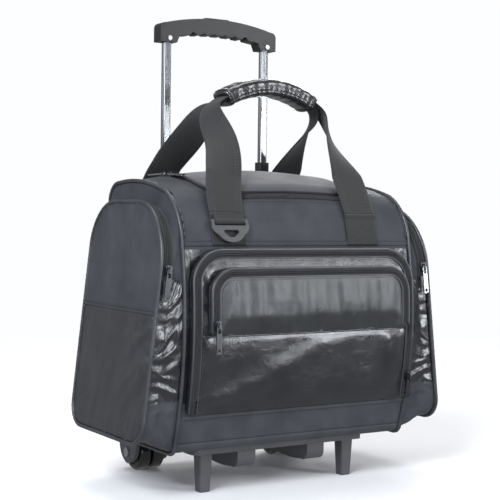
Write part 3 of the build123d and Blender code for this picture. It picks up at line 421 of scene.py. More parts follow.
def puckers(s, distance, pitch, reach, seed):
    """Gathers that stand square to a seam and die out with the distance from it."""
    p = np.stack([s / pitch, distance / (pitch * 5)], -1)
    return cloth_noise(p, seed) * np.exp(-np.abs(distance) / reach)


# --- mesh building ------------------------------------------------------------------------------
def make_piece(name, points, faces, lay, finish, shade=None, scale=MM):
    """Mesh object from points in millimetres; lay gives each point's place on the flat cloth."""
    mesh = bpy.data.meshes.new(name)
    mesh.from_pydata((np.asarray(points, float) * scale).tolist(), [], [list(map(int, f)) for f in faces])
    layer = mesh.uv_layers.new(name="lay")
    index = np.empty(len(mesh.loops), int)
    mesh.loops.foreach_get("vertex_index", index)
    layer.data.foreach_set("uv", (np.asarray(lay, float)[index] * scale).astype(np.float32).ravel())
    mesh.polygons.foreach_set("use_smooth", [True] * len(mesh.polygons))
    for key in ([finish] if isinstance(finish, str) else finish):
        mesh.materials.append(material(key))
    if shade is not None:
        mesh.polygons.foreach_set("material_index", np.asarray(shade, np.int32))
    mesh.validate()
    mesh.update()
    made = bpy.data.objects.new(name, mesh)
    bpy.context.scene.collection.objects.link(made)
    return made


def settle_modifiers(obj):
    """Keep the shape that the modifiers give and drop them."""
    bpy.context.view_layer.update()
    result = bpy.data.meshes.new_from_object(obj.evaluated_get(bpy.context.evaluated_depsgraph_get()))
    obj.modifiers.clear()
    old, obj.data = obj.data, result
    bpy.data.meshes.remove(old)
    return obj


def thicken(obj, thickness, lining=None, offset=-1.0):
    """Give a panel its real thickness inward, with a lining as its second finish."""
    solid = obj.modifiers.new("thickness", "SOLIDIFY")
    solid.thickness, solid.offset = thickness * MM, offset
    solid.use_even_offset = False
    if lining:
        obj.data.materials.append(material(lining))
        solid.material_offset = len(obj.data.materials)
        solid.material_offset_rim = 0
    return settle_modifiers(obj)


def finish_piece(obj, body, slot, *nodes):
    """Hang a made piece on its body and let it stand for its CAD nodes; slot is not used."""
    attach(obj, body)
    if nodes:
        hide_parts(*nodes)
    return obj


def grid_faces(rows, columns, wrap_rows=False, wrap_columns=False):
    """Quads over a grid of points laid out row by row."""
    i = np.arange(rows if wrap_rows else rows - 1)
    j = np.arange(columns if wrap_columns else columns - 1)
    a, b = (g.ravel() for g in np.meshgrid(i, j, indexing="ij"))
    a1, b1 = (a + 1) % rows, (b + 1) % columns
    return np.stack([a * columns + b, a * columns + b1, a1 * columns + b1, a1 * columns + b], -1)


def trimmed_grid(us, vs, edge):
    """Grid kept where edge(u, v) is below 0, with its border drawn onto edge = 0."""
    grid = np.stack(np.meshgrid(us, vs, indexing="ij"), -1).reshape(-1, 2)
    faces = grid_faces(len(us), len(vs))
    inside = edge(grid) < 0
    faces = faces[inside[faces].sum(1) >= 3]
    rim = np.zeros(len(grid), int)
    sides = np.sort(np.vstack([faces[:, [k, (k + 1) % 4]] for k in range(4)]), 1)
    pairs, count = np.unique(sides, axis=0, return_counts=True)
    rim[pairs[count == 1].ravel()] = 1
    move = np.where((rim == 1) | ~inside)[0]
    start, reach = grid[move].copy(), 1.5 * np.array([np.diff(us).max(), np.diff(vs).max()])
    for _ in range(6):
        p = grid[move]
        e = edge(p)
        slope = np.stack([edge(p + [0.05, 0]) - edge(p - [0.05, 0]),
                          edge(p + [0, 0.05]) - edge(p - [0, 0.05])], -1) / 0.1
        p = p - slope * (e / np.maximum((slope ** 2).sum(1), 1e-6))[:, None]
        grid[move] = np.clip(p, start - reach, start + reach)
    used = np.unique(faces)
    index = np.full(len(grid), -1)
    index[used] = np.arange(len(used))
    return grid[used], index[faces]


def rounded_distance(p, x0, x1, y0, y1, radii):
    """Signed distance to a rounded rectangle; radii for lower left, lower right, upper right, upper left."""
    x, y = p[:, 0] - (x0 + x1) / 2, p[:, 1] - (y0 + y1) / 2
    a, b, c, d = radii
    r = np.where(y > 0, np.where(x > 0, c, d), np.where(x > 0, b, a))
    qx, qy = np.abs(x) - (x1 - x0) / 2 + r, np.abs(y) - (y1 - y0) / 2 + r
    return np.minimum(np.maximum(qx, qy), 0) + np.hypot(np.maximum(qx, 0), np.maximum(qy, 0)) - r


def face_normals(points, faces):
    """Vertex normals of a quad mesh."""
    a, b, c, d = (points[faces[:, k]] for k in range(4))
    n = np.cross(c - a, d - b)
    total = np.zeros_like(points)
    for k in range(4):
        np.add.at(total, faces[:, k], n)
    return total / np.maximum(np.linalg.norm(total, axis=1), 1e-9)[:, None]


def lengths_along(path):
    return np.concatenate([[0], np.cumsum(np.linalg.norm(np.diff(path, axis=0), axis=1))])


def resample(path, step, *fields):
    """The path, and fields that belong to it, at even steps."""
    s = lengths_along(path)
    t = np.linspace(0, s[-1], max(2, int(round(s[-1] / step)) + 1))
    return [np.stack([np.interp(t, s, f[:, k]) for k in range(f.shape[1])], -1) for f in (path, *fields)]


def unit(v):
    return v / np.maximum(np.linalg.norm(v, axis=-1, keepdims=True), 1e-9)


def sweep(name, path, across, out, profile, finish, closed=False, widths=None):
    """Closed profile (across, out) carried along a path; widths scales it across at each point."""
    path, across, out = (np.asarray(a, float) for a in (path, across, out))
    n, m = len(path), len(profile)
    widths = np.ones(n) if widths is None else np.asarray(widths)
    profile = np.asarray(profile, float)
    points = (path[:, None] + across[:, None] * (profile[None, :, :1] * widths[:, None, None])
              + out[:, None] * profile[None, :, 1:]).reshape(-1, 3)
    ring = np.concatenate([[0], np.cumsum(np.linalg.norm(np.diff(profile, axis=0), axis=1))])
    lay = np.stack(np.meshgrid(profile[:, 0], lengths_along(path), indexing="xy"), -1).reshape(-1, 2)
    if np.ptp(profile[:, 1]) > 0.3 * np.ptp(profile[:, 0]):
        lay[:, 0] = np.tile(ring, n)
    faces = [list(f) for f in grid_faces(n, m, wrap_rows=closed, wrap_columns=True)]
    if not closed:
        faces += [list(range(m))[::-1], list(range((n - 1) * m, n * m))]
    obj = make_piece(name, points, faces, lay, finish)
    return outward(obj)


def outward(obj):
    """Turn every face of a closed piece outward."""
    made = bmesh.new()
    made.from_mesh(obj.data)
    bmesh.ops.recalc_face_normals(made, faces=made.faces[:])
    made.to_mesh(obj.data)
    made.free()
    return obj


def flat_profile(width, thick, columns=12, ridge=0.0):
    """Webbing or tape in section: thin, soft edges, a slight ridge beside each edge."""
    x = np.linspace(-1, 1, columns + 1)
    body = 1 - np.abs(x) ** 14
    bead = ridge * np.exp(-((np.abs(x) - 0.86) / 0.06) ** 2)
    top = np.stack([x * width / 2, (thick / 2) * (0.25 + 0.75 * body) + bead], -1)
    low = np.stack([x[::-1] * width / 2, -(thick / 2) * (0.25 + 0.75 * body)], -1)
    return np.vstack([top, low])


def frames_along(path, out, closed=False):
    """Across directions for a path whose outward directions are known."""
    if closed:
        tangent = unit(np.roll(path, -1, 0) - np.roll(path, 1, 0))
    else:
        tangent = unit(np.gradient(path, axis=0))
    across = unit(np.cross(tangent, out))
    return across, unit(np.cross(across, tangent)), tangent


def stitch_row(name, path, out, settings, lift=0.25, pitch=None):
    """Row of thread stitches lying on the cloth along a path."""
    pitch = pitch or settings.stitch_pitch
    path, out = resample(path, pitch, out)
    _, _, tangent = frames_along(path, out)
    across = unit(np.cross(tangent, out))
    r, half = 0.42, pitch * 0.36
    ring = [(0, -1), (1, 0), (0, 1), (-1, 0)]
    points, faces = [], []
    for p, t, a, o in zip(path, tangent, across, out):
        base, centre = len(points), p + o * lift
        points += [centre - t * half - o * r, centre + t * half - o * r]
        points += [centre + a * (i * r) + o * (j * r * 0.8) for i, j in ring]
        for k in range(4):
            b, c = base + 2 + k, base + 2 + (k + 1) % 4
            faces += [[base, c, b], [base + 1, b, c]]
    points = np.array(points)
    return outward(make_piece(name, points, faces, points[:, :2], "thread"))


def zip_teeth(name, path, across, out, half_width, pitch, height, finish="coil", rows=(-1, 1)):
    """Interlocked rows of coil along a zip: short bars set across the path, half a pitch apart."""
    path, across, out = resample(path, pitch, across, out)
    tangent = unit(np.gradient(path, axis=0))
    points, faces = [], []
    for side in rows:
        for k in range(len(path)):
            at = path[k] + tangent[k] * (pitch / 2 if side > 0 else 0)
            base = len(points)
            for y, z in ((-0.34, 0), (0.34, 0), (0.24, 1), (-0.24, 1)):
                for x in (0.1, 1.0):
                    drop = 0.75 if (x == 1.0 and z) else 1.0
                    points.append(at + across[k] * side * half_width * x + tangent[k] * pitch * y
                                  + out[k] * height * z * drop)
            b = base
            faces += [[b, b + 1, b + 3, b + 2], [b + 2, b + 3, b + 5, b + 4], [b + 4, b + 5, b + 7, b + 6],
                      [b + 6, b + 7, b + 1, b], [b, b + 2, b + 4, b + 6], [b + 1, b + 7, b + 5, b + 3]]
    points = np.array(points)
    return outward(make_piece(name, points, faces, points[:, :2], finish))


def join_pieces(name, pieces):
    """One object from several made pieces with the same finish list."""
    with bpy.context.temp_override(active_object=pieces[0], object=pieces[0], selected_objects=pieces,
                                   selected_editable_objects=pieces):
        bpy.ops.object.join()
    pieces[0].name = name
    return pieces[0]


def dress(finish, *nodes):
    """Give carried-over CAD nodes their finish."""
    for node in nodes:
        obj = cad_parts[node]
        obj.data.materials.clear()
        obj.data.materials.append(material(finish))


# --- settings -----------------------------------------------------------------------------------
class FlightCaseSettings(bpy.types.PropertyGroup):
    """Sizes and main colours of the case that a user may change."""
    cloth_colour: bpy.props.FloatVectorProperty(
        name="Cloth colour", description="Darker tone of the matt nylon panels",
        subtype="COLOR", size=4, min=0.0, max=1.0, default=srgb("2e3034"))
    glazed_colour: bpy.props.FloatVectorProperty(
        name="Glazed colour", description="Darker tone of the glazed nylon panels",
        subtype="COLOR", size=4, min=0.0, max=1.0, default=srgb("131418"))
    satin_colour: bpy.props.FloatVectorProperty(
        name="Satin colour", description="Darker tone of the calendered nylon",
        subtype="COLOR", size=4, min=0.0, max=1.0, default=srgb("1d1f22"))
    webbing_colour: bpy.props.FloatVectorProperty(
        name="Webbing colour", description="Darker tone of the handle webbing",
        subtype="COLOR", size=4, min=0.0, max=1.0, default=srgb("0f0f10"))
    tube_colour: bpy.props.FloatVectorProperty(
        name="Tube colour", description="Darker tone of the anodised trolley tubes",
        subtype="COLOR", size=4, min=0.0, max=1.0, default=srgb("96989c"))
    fabric_thickness: bpy.props.FloatProperty(
        name="Fabric thickness", description="Thickness of the foam-backed nylon, in millimetres",
        default=2.0, min=0.5, max=4.0)
    crumple_height: bpy.props.FloatProperty(
        name="Crumple height", description="Height of the creases in the glazed panels, in millimetres",
        default=2.6, min=0.0, max=6.0)
    pucker_height: bpy.props.FloatProperty(
        name="Pucker height", description="Height of the gathers beside the seams, in millimetres",
        default=1.3, min=0.0, max=4.0)
    grid_step: bpy.props.FloatProperty(
        name="Grid step", description="Spacing of the mesh on the panels, in millimetres",
        default=3.0, min=1.5, max=8.0)
    stitch_pitch: bpy.props.FloatProperty(
        name="Stitch pitch", description="Distance from stitch to stitch, in millimetres",
        default=4.5, min=2.0, max=8.0)
    tooth_pitch: bpy.props.FloatProperty(
        name="Zip pitch", description="Distance from tooth to tooth on each side, in millimetres",
        default=2.2, min=1.0, max=4.0)
    piping_radius: bpy.props.FloatProperty(
        name="Piping radius", description="Radius of the piping round both ends, in millimetres",
        default=2.5, min=1.0, max=4.0)


def settings():
    """The case's settings in the current scene."""
    return bpy.context.scene.flight_case


def seam_line(coordinate, at, width):
    """Dent of a seam across a panel, deepest at its line."""
    return -np.exp(-((coordinate - at) / width) ** 2)


# --- case ---------------------------------------------------------------------------------------
def lid_edge(grow):
    """Distance outside the lid opening's plan, grown about the zip's centre line."""
    def distance(x, y):
        r = LID_CORNER + grow
        p = np.stack([x, y], -1)
        return rounded_distance(p, LID_LEFT - grow, LID_RIGHT + grow, LID_FRONT - grow, 200.0,
                                (r, r, 4.0, 4.0))
    return distance


def body_surface(uv):
    """Points on the case at length x and outline position v (index along the outline)."""
    xs = uv[:, 0]
    flat, full = outline(body_edges(0.0)), outline(body_edges(CROWN))
    share = crown_at(np.clip(xs, -BODY_HALF, BODY_HALF)) / CROWN
    count = len(flat)
    i = np.floor(uv[:, 1]).astype(int)
    f = (uv[:, 1] - i)[:, None]

    def at(points):
        return points[i % count] * (1 - f) + points[(i + 1) % count] * f
    yz = at(flat) * (1 - share[:, None]) + at(full) * share[:, None]
    return np.hstack([xs[:, None], yz])


def case_cover():
    """The case's own cloth: yoke, front, gusset strips, back and floor, open under the lid."""
    s = settings()
    count = sum(EDGE_STEPS)
    top = (sum(EDGE_STEPS[:1]), sum(EDGE_STEPS[:4]) + 10)
    opening = lid_edge(ZIP_SLOT)

    def edge(p):
        xyz = body_surface(p)
        hole = np.maximum(opening(xyz[:, 0], xyz[:, 1]), 0 * p[:, 0] - 1e3)
        hole = np.maximum(hole, xyz[:, 1] - LID_REAR)
        on_top = (p[:, 1] > top[0]) & (p[:, 1] < top[1])
        return np.where(on_top, -hole, -50.0)
    us = np.linspace(-BODY_HALF, BODY_HALF, int(2 * BODY_HALF / s.grid_step) + 1)
    grid, faces = trimmed_grid(us, np.arange(count + 1, dtype=float), edge)
    points = body_surface(grid)
    normal = face_normals(points, faces)
    if (normal[:, 2] * (points[:, 2] - 230)).sum() < 0:
        faces, normal = faces[:, ::-1], -normal
    x, y, z = points.T
    to_end = BODY_HALF - np.abs(x)
    front = (y < -60) & (z < 330)
    lift = 0.5 * s.pucker_height * puckers(z * 1.0 + y * 0.7, to_end, 9, 14, 3)
    lift = lift + 0.5 * cloth_noise(np.stack([x / 70, (z + y) / 50], -1), 5)
    yoke = (y < -60) & (z > YOKE_SEAM)
    lift = lift + np.where(yoke, 0.9 * crumple(x * 1.0, z * 2.0, 60, 9), 0)
    lift = np.where(front, lift + 0.9 * seam_line(z, YOKE_SEAM, 2.0), lift)
    hidden = front & (z > 112) & (z < 312) & (np.abs(x) < 165)
    border = np.minimum(np.abs(opening(x, y)), 30) / 30
    lift = np.where((z > 360) & (y < LID_REAR + 10), lift * border, lift)
    lift = np.where(hidden, -1.2, lift) - 0.2
    lift = np.where((z < 66) | (y > 96), np.minimum(lift, 0.0) * 0.3, lift)
    points = points + normal * np.clip(lift, -2.0, 0.25)[:, None]
    centre = points[faces].mean(1)
    coated = ((centre[:, 1] < -80) & (centre[:, 2] > SKIRT_SEAM + 16) & (centre[:, 2] < YOKE_SEAM - 6)
              & (np.abs(centre[:, 0]) > 150))
    lay = np.stack([grid[:, 0], grid[:, 1] * 3.0], -1)
    obj = make_piece("case_cover", points, faces, lay, ["panel", "coated"], coated.astype(int))
    thicken(obj, s.fabric_thickness, "lining")
    finish_piece(obj, "case", "nylon_panel", "body_shell")
    made = [obj]

    # Folded welt where the yoke meets the front, with its row of stitches.
    xs = np.linspace(-BODY_HALF + 1, BODY_HALF - 1, 90)
    path = front_point(xs, YOKE_SEAM + 0.6, 0.4)
    out = np.tile([0.0, -1.0, 0.02], (len(xs), 1))
    across = np.tile([0.0, 0.0, 1.0], (len(xs), 1))
    welt = sweep("yoke_welt", path, across, out, flat_profile(5.5, 1.3, 8), "panel")
    made.append(finish_piece(welt, "case", "nylon_panel"))
    row = stitch_row("yoke_stitches", path + [0, -0.75, 3.6], out, s)
    made.append(finish_piece(row, "case", "nylon_panel"))
    path = front_point(xs, SKIRT_SEAM - 3.0, 0.5)
    welt = sweep("skirt_welt", path, across, out, flat_profile(4.5, 1.2, 8), "panel")
    made.append(finish_piece(welt, "case", "nylon_panel"))
    row = stitch_row("skirt_stitches", path + [0, -0.1, -4.0], out, s)
    made.append(finish_piece(row, "case", "nylon_panel"))
    return made


def lid_path(grow, depth, rear=LID_REAR - 3.0, step=2.0):
    """Round the lid opening from hinge to hinge: points, across (away from the lid), and outward."""
    r = LID_CORNER + grow
    x0, x1, y0 = LID_LEFT - grow, LID_RIGHT + grow, LID_FRONT - grow
    corner = np.linspace(0, math.pi / 2, 16)
    plan = np.vstack([
        [[x1, y] for y in np.arange(rear, y0 + r, -step)],
        np.stack([x1 - r + r * np.cos(corner), y0 + r - r * np.sin(corner)], -1),
        [[x, y0] for x in np.arange(x1 - r - step, x0 + r, -step)],
        np.stack([x0 + r - r * np.sin(corner), y0 + r - r * np.cos(corner)], -1),
        [[x0, y] for y in np.arange(y0 + r + step, rear + 0.01, step)]])
    points, ways = top_points(plan, -depth)
    tangent = unit(np.gradient(points, axis=0))
    across = unit(np.cross(tangent, ways))
    middle = np.array([-11.0, 0.0])
    if ((plan - middle) * across[:, :2]).sum() < 0:
        across = -across
    return points, across, ways


def top_points(plan, out):
    """Points over the top of the case at plan positions x, y, and their outward directions."""
    points, ways = [], []
    for x, y in plan:
        edges = body_edges(float(crown_at(x)))
        line = np.vstack([along_edge(*edges[1], np.linspace(0, 1, 30)),
                          along_edge(*edges[2], np.linspace(0.01, 1, 60)),
                          along_edge(*edges[3], np.linspace(0.01, 1, 20))])
        z = np.interp(y, line[:, 0], line[:, 1])
        rise = (np.interp(y + 1, line[:, 0], line[:, 1]) - np.interp(y - 1, line[:, 0], line[:, 1])) / 2
        way = np.array([2 * CROWN * x / BODY_HALF ** 2, -rise, 1.0])
        way = way / np.linalg.norm(way)
        points.append(np.array([x, y, z]) + way * out)
        ways.append(way)
    return np.array(points), np.array(ways)


def lid_cover():
    """The lid's padded panel with its bound edge, and both rows of the lid zip."""
    s = settings()
    plan_edge = lid_edge(-ZIP_SLOT)

    def edge(p):
        return np.maximum(plan_edge(p[:, 0], p[:, 1]), p[:, 1] - (LID_REAR - 0.6))
    us = np.arange(LID_LEFT + 2, LID_RIGHT, s.grid_step)
    vs = np.arange(LID_FRONT + 2, LID_REAR + 3, s.grid_step)
    grid, faces = trimmed_grid(us, vs, edge)
    points, ways = top_points(grid, -0.15)
    border = np.clip(-edge(grid) / 26, 0, 1)
    swell = border * (0.35 * cloth_noise(grid / 60, 12) + 0.5 * crumple(grid[:, 0], grid[:, 1], 55, 15) - 0.3)
    points = points + ways * np.clip(swell, -1.2, 0.15)[:, None]
    obj = make_piece("lid_cover", points, faces, grid, "panel")
    thicken(obj, s.fabric_thickness, "lining")
    made = [finish_piece(obj, "lid", "nylon_panel", "lid_flap")]
    for name, side, body, node in (("body", 1, "case", "body_zip_half"), ("lid", -1, "lid", "lid_zip_half")):
        path, across, out = lid_path(0.0, 3.15)
        tape = sweep(f"{name}_zip_tape", path + across * side * 5.3, across, out,
                     flat_profile(9.4, 0.8, 8), "tape")
        made.append(finish_piece(tape, body, "zip_tape", node))
        teeth = zip_teeth(f"{name}_zip_coil", path + out * 0.4, across, out, 2.1, s.tooth_pitch, 1.7,
                          rows=(side,))
        made.append(finish_piece(teeth, body, "zip_metal"))
        path, across, out = lid_path(side * (ZIP_SLOT + 3.0), -0.25)
        made.append(finish_piece(stitch_row(f"{name}_zip_stitches", path, out, s), body, "zip_tape"))
        path, across, out = lid_path(side * (ZIP_SLOT + 0.6), 0.5)
        bead = sweep(f"{name}_zip_fold", path, across, out, flat_profile(2.2, 1.8, 6), "panel")
        made.append(finish_piece(bead, body, "nylon_panel"))
    return made


# --- end pockets --------------------------------------------------------------------------------
def end_cover(side):
    """Gusset and outer face of one end pocket, with its waist seam."""
    s = settings()
    name = "left" if side < 0 else "right"
    flat = outline(body_edges(0.0, 1.0))
    rim = outline(rim_edges(2.9))
    inner = np.hstack([np.full((len(flat), 1), side * (BODY_HALF + 0.6)), flat])
    outer = rim_point(rim[:, 0], rim[:, 1], RIM_BAND, side)
    crest = rim_point(rim[:, 0], rim[:, 1], 0.6, side)
    rows = [inner * (1 - w) + outer * w for w in np.linspace(0, 1, 19)]
    rows += [outer * (1 - w) + crest * w for w in np.linspace(0, 1, 10)[1:]]
    inset = outline(rim_edges(6.5))
    rows.append(rim_point(inset[:, 0], inset[:, 1], 0.5, side))
    points = np.vstack(rows)
    count = len(flat)
    faces = grid_faces(len(rows), count, wrap_columns=True)
    around = np.tile(np.append(lengths_along(flat), 0)[:count], len(rows))
    across = np.concatenate([np.full(count, lengths_along(np.array([r[0] for r in rows]))[k])
                             for k in range(len(rows))])
    normal = face_normals(points, faces)
    middle = points.mean(0)
    if (normal * (points - middle)).sum() < 0:
        faces, normal = faces[:, ::-1], -normal
    _, y, z = points.T
    width = across.max() - 4.0
    free = np.clip(np.minimum(across, width - across) / 12, 0, 1)
    lift = s.pucker_height * (puckers(around, across, 11, 16, 21)
                              + 0.8 * puckers(around, width - across, 13, 14, 22))
    creased = 1.25 * s.crumple_height * crumple(around * 0.8, across * 0.55 + around * 0.35, 26, 25)
    lift = lift + free * np.where(z < 275, creased, 0.5)
    lift = lift * np.where(z > 276, 0.45, 1.0)
    near_zip = np.exp(-((across - (width - 8)) / 7) ** 2) * (z > 240)
    lift = lift * (1 - near_zip) * np.clip(across / 5, 0, 1)
    lift = np.clip(lift, -2.2, 1.6) - 0.5
    lift = np.where((z < 84) | (y > 92), np.clip(lift, -1.5, 0), lift)
    points = points + normal * lift[:, None]
    centre = points[faces].mean(1)
    shade = ((centre[:, 2] > 128) & (centre[:, 2] < 275) & (centre[:, 1] < 60)).astype(int)
    obj = make_piece(f"{name}_end_gusset", points, faces, np.stack([around, across], -1),
                     ["panel", "coated"], shade)
    thicken(obj, s.fabric_thickness, "lining")
    made = [finish_piece(obj, "case", "nylon_coated", f"{name}_end_pocket")]

    # Outer face: upper panel of plain cloth, lower panel glazed and creased.
    def edge(p):
        return rounded_distance(p, RIM_BOX[0] + 3.2, RIM_BOX[1] - 3.2, RIM_BOX[2] + 3.2, RIM_BOX[3] - 3.2,
                                (29, 29, 57, 81))
    us = np.arange(RIM_BOX[0] - 2, RIM_BOX[1] + 5, s.grid_step)
    rises = np.append(np.arange(WAIST_SEAM, RIM_BOX[2] - 6, -s.grid_step)[::-1],
                      np.arange(WAIST_SEAM + s.grid_step, RIM_BOX[3] + 6, s.grid_step))
    grid, faces = trimmed_grid(us, rises, edge)
    y, v = grid.T
    inward = -edge(grid)
    below = v < WAIST_SEAM
    free = np.clip(inward / 20, 0, 1) * np.clip(np.abs(v - WAIST_SEAM) / 12, 0.15, 1)
    lift = 2.2 * np.clip(inward / 60, 0, 1) ** 0.7
    fore = 0.12 + 2.0 * np.clip((-35 - y) / 50, 0, 1)
    drape = 1.3 * cloth_noise(np.stack([(y + 0.25 * (v - 220)) / 24, v / 240], -1), 34)
    lift = lift + free * np.where(below, fore * s.crumple_height * crumple(y * 0.9 + v * 0.5, v * 0.5, 36, 31)
                                  + 0.6 * drape, drape * np.clip((v - WAIST_SEAM) / 90, 0.2, 1))
    around = np.arctan2(v - 225, y + 5) * 150
    lift = lift + s.pucker_height * 0.8 * puckers(around, inward, 12, 15, 35)
    lift = lift + 0.5 * s.pucker_height * np.where(below, puckers(y, WAIST_SEAM - v, 16, 18, 36), 0)
    lift = lift + 1.1 * seam_line(v, WAIST_SEAM, 2.2)
    points = rim_point(y, v, 0.8 - np.clip(lift, -1.5, 4.5), side)
    if side < 0:
        faces = faces[:, ::-1]
    normal = face_normals(points, faces)
    if normal[:, 0].sum() * side < 0:
        faces = faces[:, ::-1]
    shade = (v[faces].mean(1) < WAIST_SEAM).astype(int)
    obj = make_piece(f"{name}_end_face", points, faces, grid, ["panel", "satin"], shade)
    thicken(obj, s.fabric_thickness, "lining")
    made.append(finish_piece(obj, "case", "nylon_coated"))
    ys = np.linspace(RIM_BOX[0] + 2.5, RIM_BOX[1] - 2.5, 70)
    path = rim_point(ys, WAIST_SEAM + 1.2, -1.4 - 1.2 * np.sin((ys + 110) / 210 * math.pi), side)
    out = np.tile([side * math.cos(RIM_SLOPE), 0, math.sin(RIM_SLOPE)], (len(ys), 1))
    up = np.tile([-side * math.sin(RIM_SLOPE), 0, math.cos(RIM_SLOPE)], (len(ys), 1))
    fold = sweep(f"{name}_end_waist_fold", path, up, out, flat_profile(2.2, 0.9, 8), "panel")
    made.append(finish_piece(fold, "case", "nylon_panel"))
    made.append(finish_piece(stitch_row(f"{name}_end_waist_stitches", path + up * 4.2 - out * 0.2, out, s),
                             "case", "nylon_panel"))
    return made


def end_zip(side):
    """Zip of one end pocket on the band behind its rim."""
    s = settings()
    name = "left" if side < 0 else "right"
    rim = np.vstack([along_edge(*edge, np.linspace(0, 1, n, endpoint=False))
                     for edge, n in zip(rim_edges(2.0), (60, 40, 20, 30, 60))])
    keep = ((rim[:, 0] < 0) & (rim[:, 1] > 279)) | ((rim[:, 0] >= 0) & (rim[:, 1] > 131))
    flat = rim[keep]
    slope = np.gradient(flat, axis=0)
    slope = slope / np.linalg.norm(slope, axis=1)[:, None]
    path = rim_point(flat[:, 0], flat[:, 1], 10.0, side)
    inner = rim_point(flat[:, 0], flat[:, 1], 11.0, side)
    across = unit(inner - path)
    ahead = unit(np.gradient(path, axis=0))
    out = unit(np.cross(ahead, across))
    if (out * (path - np.array([path[:, 0].mean(), 0, 230]))).sum() < 0:
        out = -out
    made = []
    tape = sweep(f"{name}_end_zip_tape", path, across, out, flat_profile(12.0, 0.9, 10), "tape")
    made.append(finish_piece(tape, "case", "zip_tape", f"{name}_end_zip"))
    teeth = zip_teeth(f"{name}_end_zip_coil", path + out * 0.4, across, out, 2.2, s.tooth_pitch, 1.7)
    made.append(finish_piece(teeth, "case", "zip_metal"))
    for k, shift in enumerate((-4.4, 4.4)):
        row = stitch_row(f"{name}_end_zip_stitches_{k}", path + across * shift + out * 0.3, out, s)
        made.append(finish_piece(row, "case", "zip_tape"))
    return made


def end_piping(side):
    """Cord piping where an end pocket joins the case, and round its outer rim."""
    s = settings()
    name = "left" if side < 0 else "right"
    made = []
    flat = outline(body_edges(0.0, -1.0), (60, 14, 26, 8, 60, 5, 34, 5))
    ring = np.hstack([np.full((len(flat), 1), side * (BODY_HALF + 0.4)), flat])
    rim = outline(rim_edges(1.2), (60, 40, 20, 30, 60, 14, 34, 14))
    for part, path in (("inner", ring), ("outer", rim_point(rim[:, 0], rim[:, 1], 1.4, side))):
        middle = path.mean(0)
        closed = np.vstack([path, path[:1]])
        path = resample(closed, 2.5)[0][:-1]
        out = unit(path - middle)
        across, out, _ = frames_along(path, out, closed=True)
        t = lengths_along(path)
        girth = 1 + 0.05 * np.sin(t * 0.9) + 0.04 * cloth_noise(np.stack([t / 7, t * 0], -1), 41)
        a = np.arange(10) / 10 * 2 * math.pi
        profile = np.stack([s.piping_radius * np.cos(a), s.piping_radius * np.sin(a)], -1)
        cord = sweep(f"{name}_{part}_piping", path, across, out * girth[:, None], profile, "piping",
                     closed=True, widths=girth)
        made.append(finish_piece(cord, "case", "nylon_coated"))
    return made


# --- front pockets ------------------------------------------------------------------------------
def pocket_rim(box, inset, foot, step=3.0):
    """Arched rim of a front pocket, as x and z from the left foot over the head to the right foot."""
    x0, x1, _, z1, r = box
    x0, x1, z1, r = x0 + inset, x1 - inset, z1 - inset, r - inset
    a = np.linspace(0, math.pi / 2, 18)
    return np.vstack([
        [[x0, z] for z in np.arange(foot, z1 - r, step)],
        np.stack([x0 + r - r * np.cos(a), z1 - r + r * np.sin(a)], -1),
        [[x, z1] for x in np.arange(x0 + r + step, x1 - r, step)],
        np.stack([x1 - r + r * np.sin(a), z1 - r + r * np.cos(a)], -1),
        [[x1, z] for z in np.arange(z1 - r - step, foot - 0.01, -step)]])


def front_out(z):
    """Outward direction of the case's front at height z."""
    rise = (np.clip(z, 62, 360) - BULGE[1]) / BULGE_R
    return np.stack([0 * rise, -np.sqrt(1 - rise ** 2), rise], -1)


def pocket_ribbon(name, box, inset, foot, height, profile, finish):
    """Ribbon or lip that follows a front pocket's arched rim."""
    flat = pocket_rim(box, inset, foot)
    path = front_point(flat[:, 0], flat[:, 1], height)
    out = front_out(flat[:, 1])
    across, out, _ = frames_along(path, out)
    return sweep(name, path, across, out, profile, finish), path, across, out


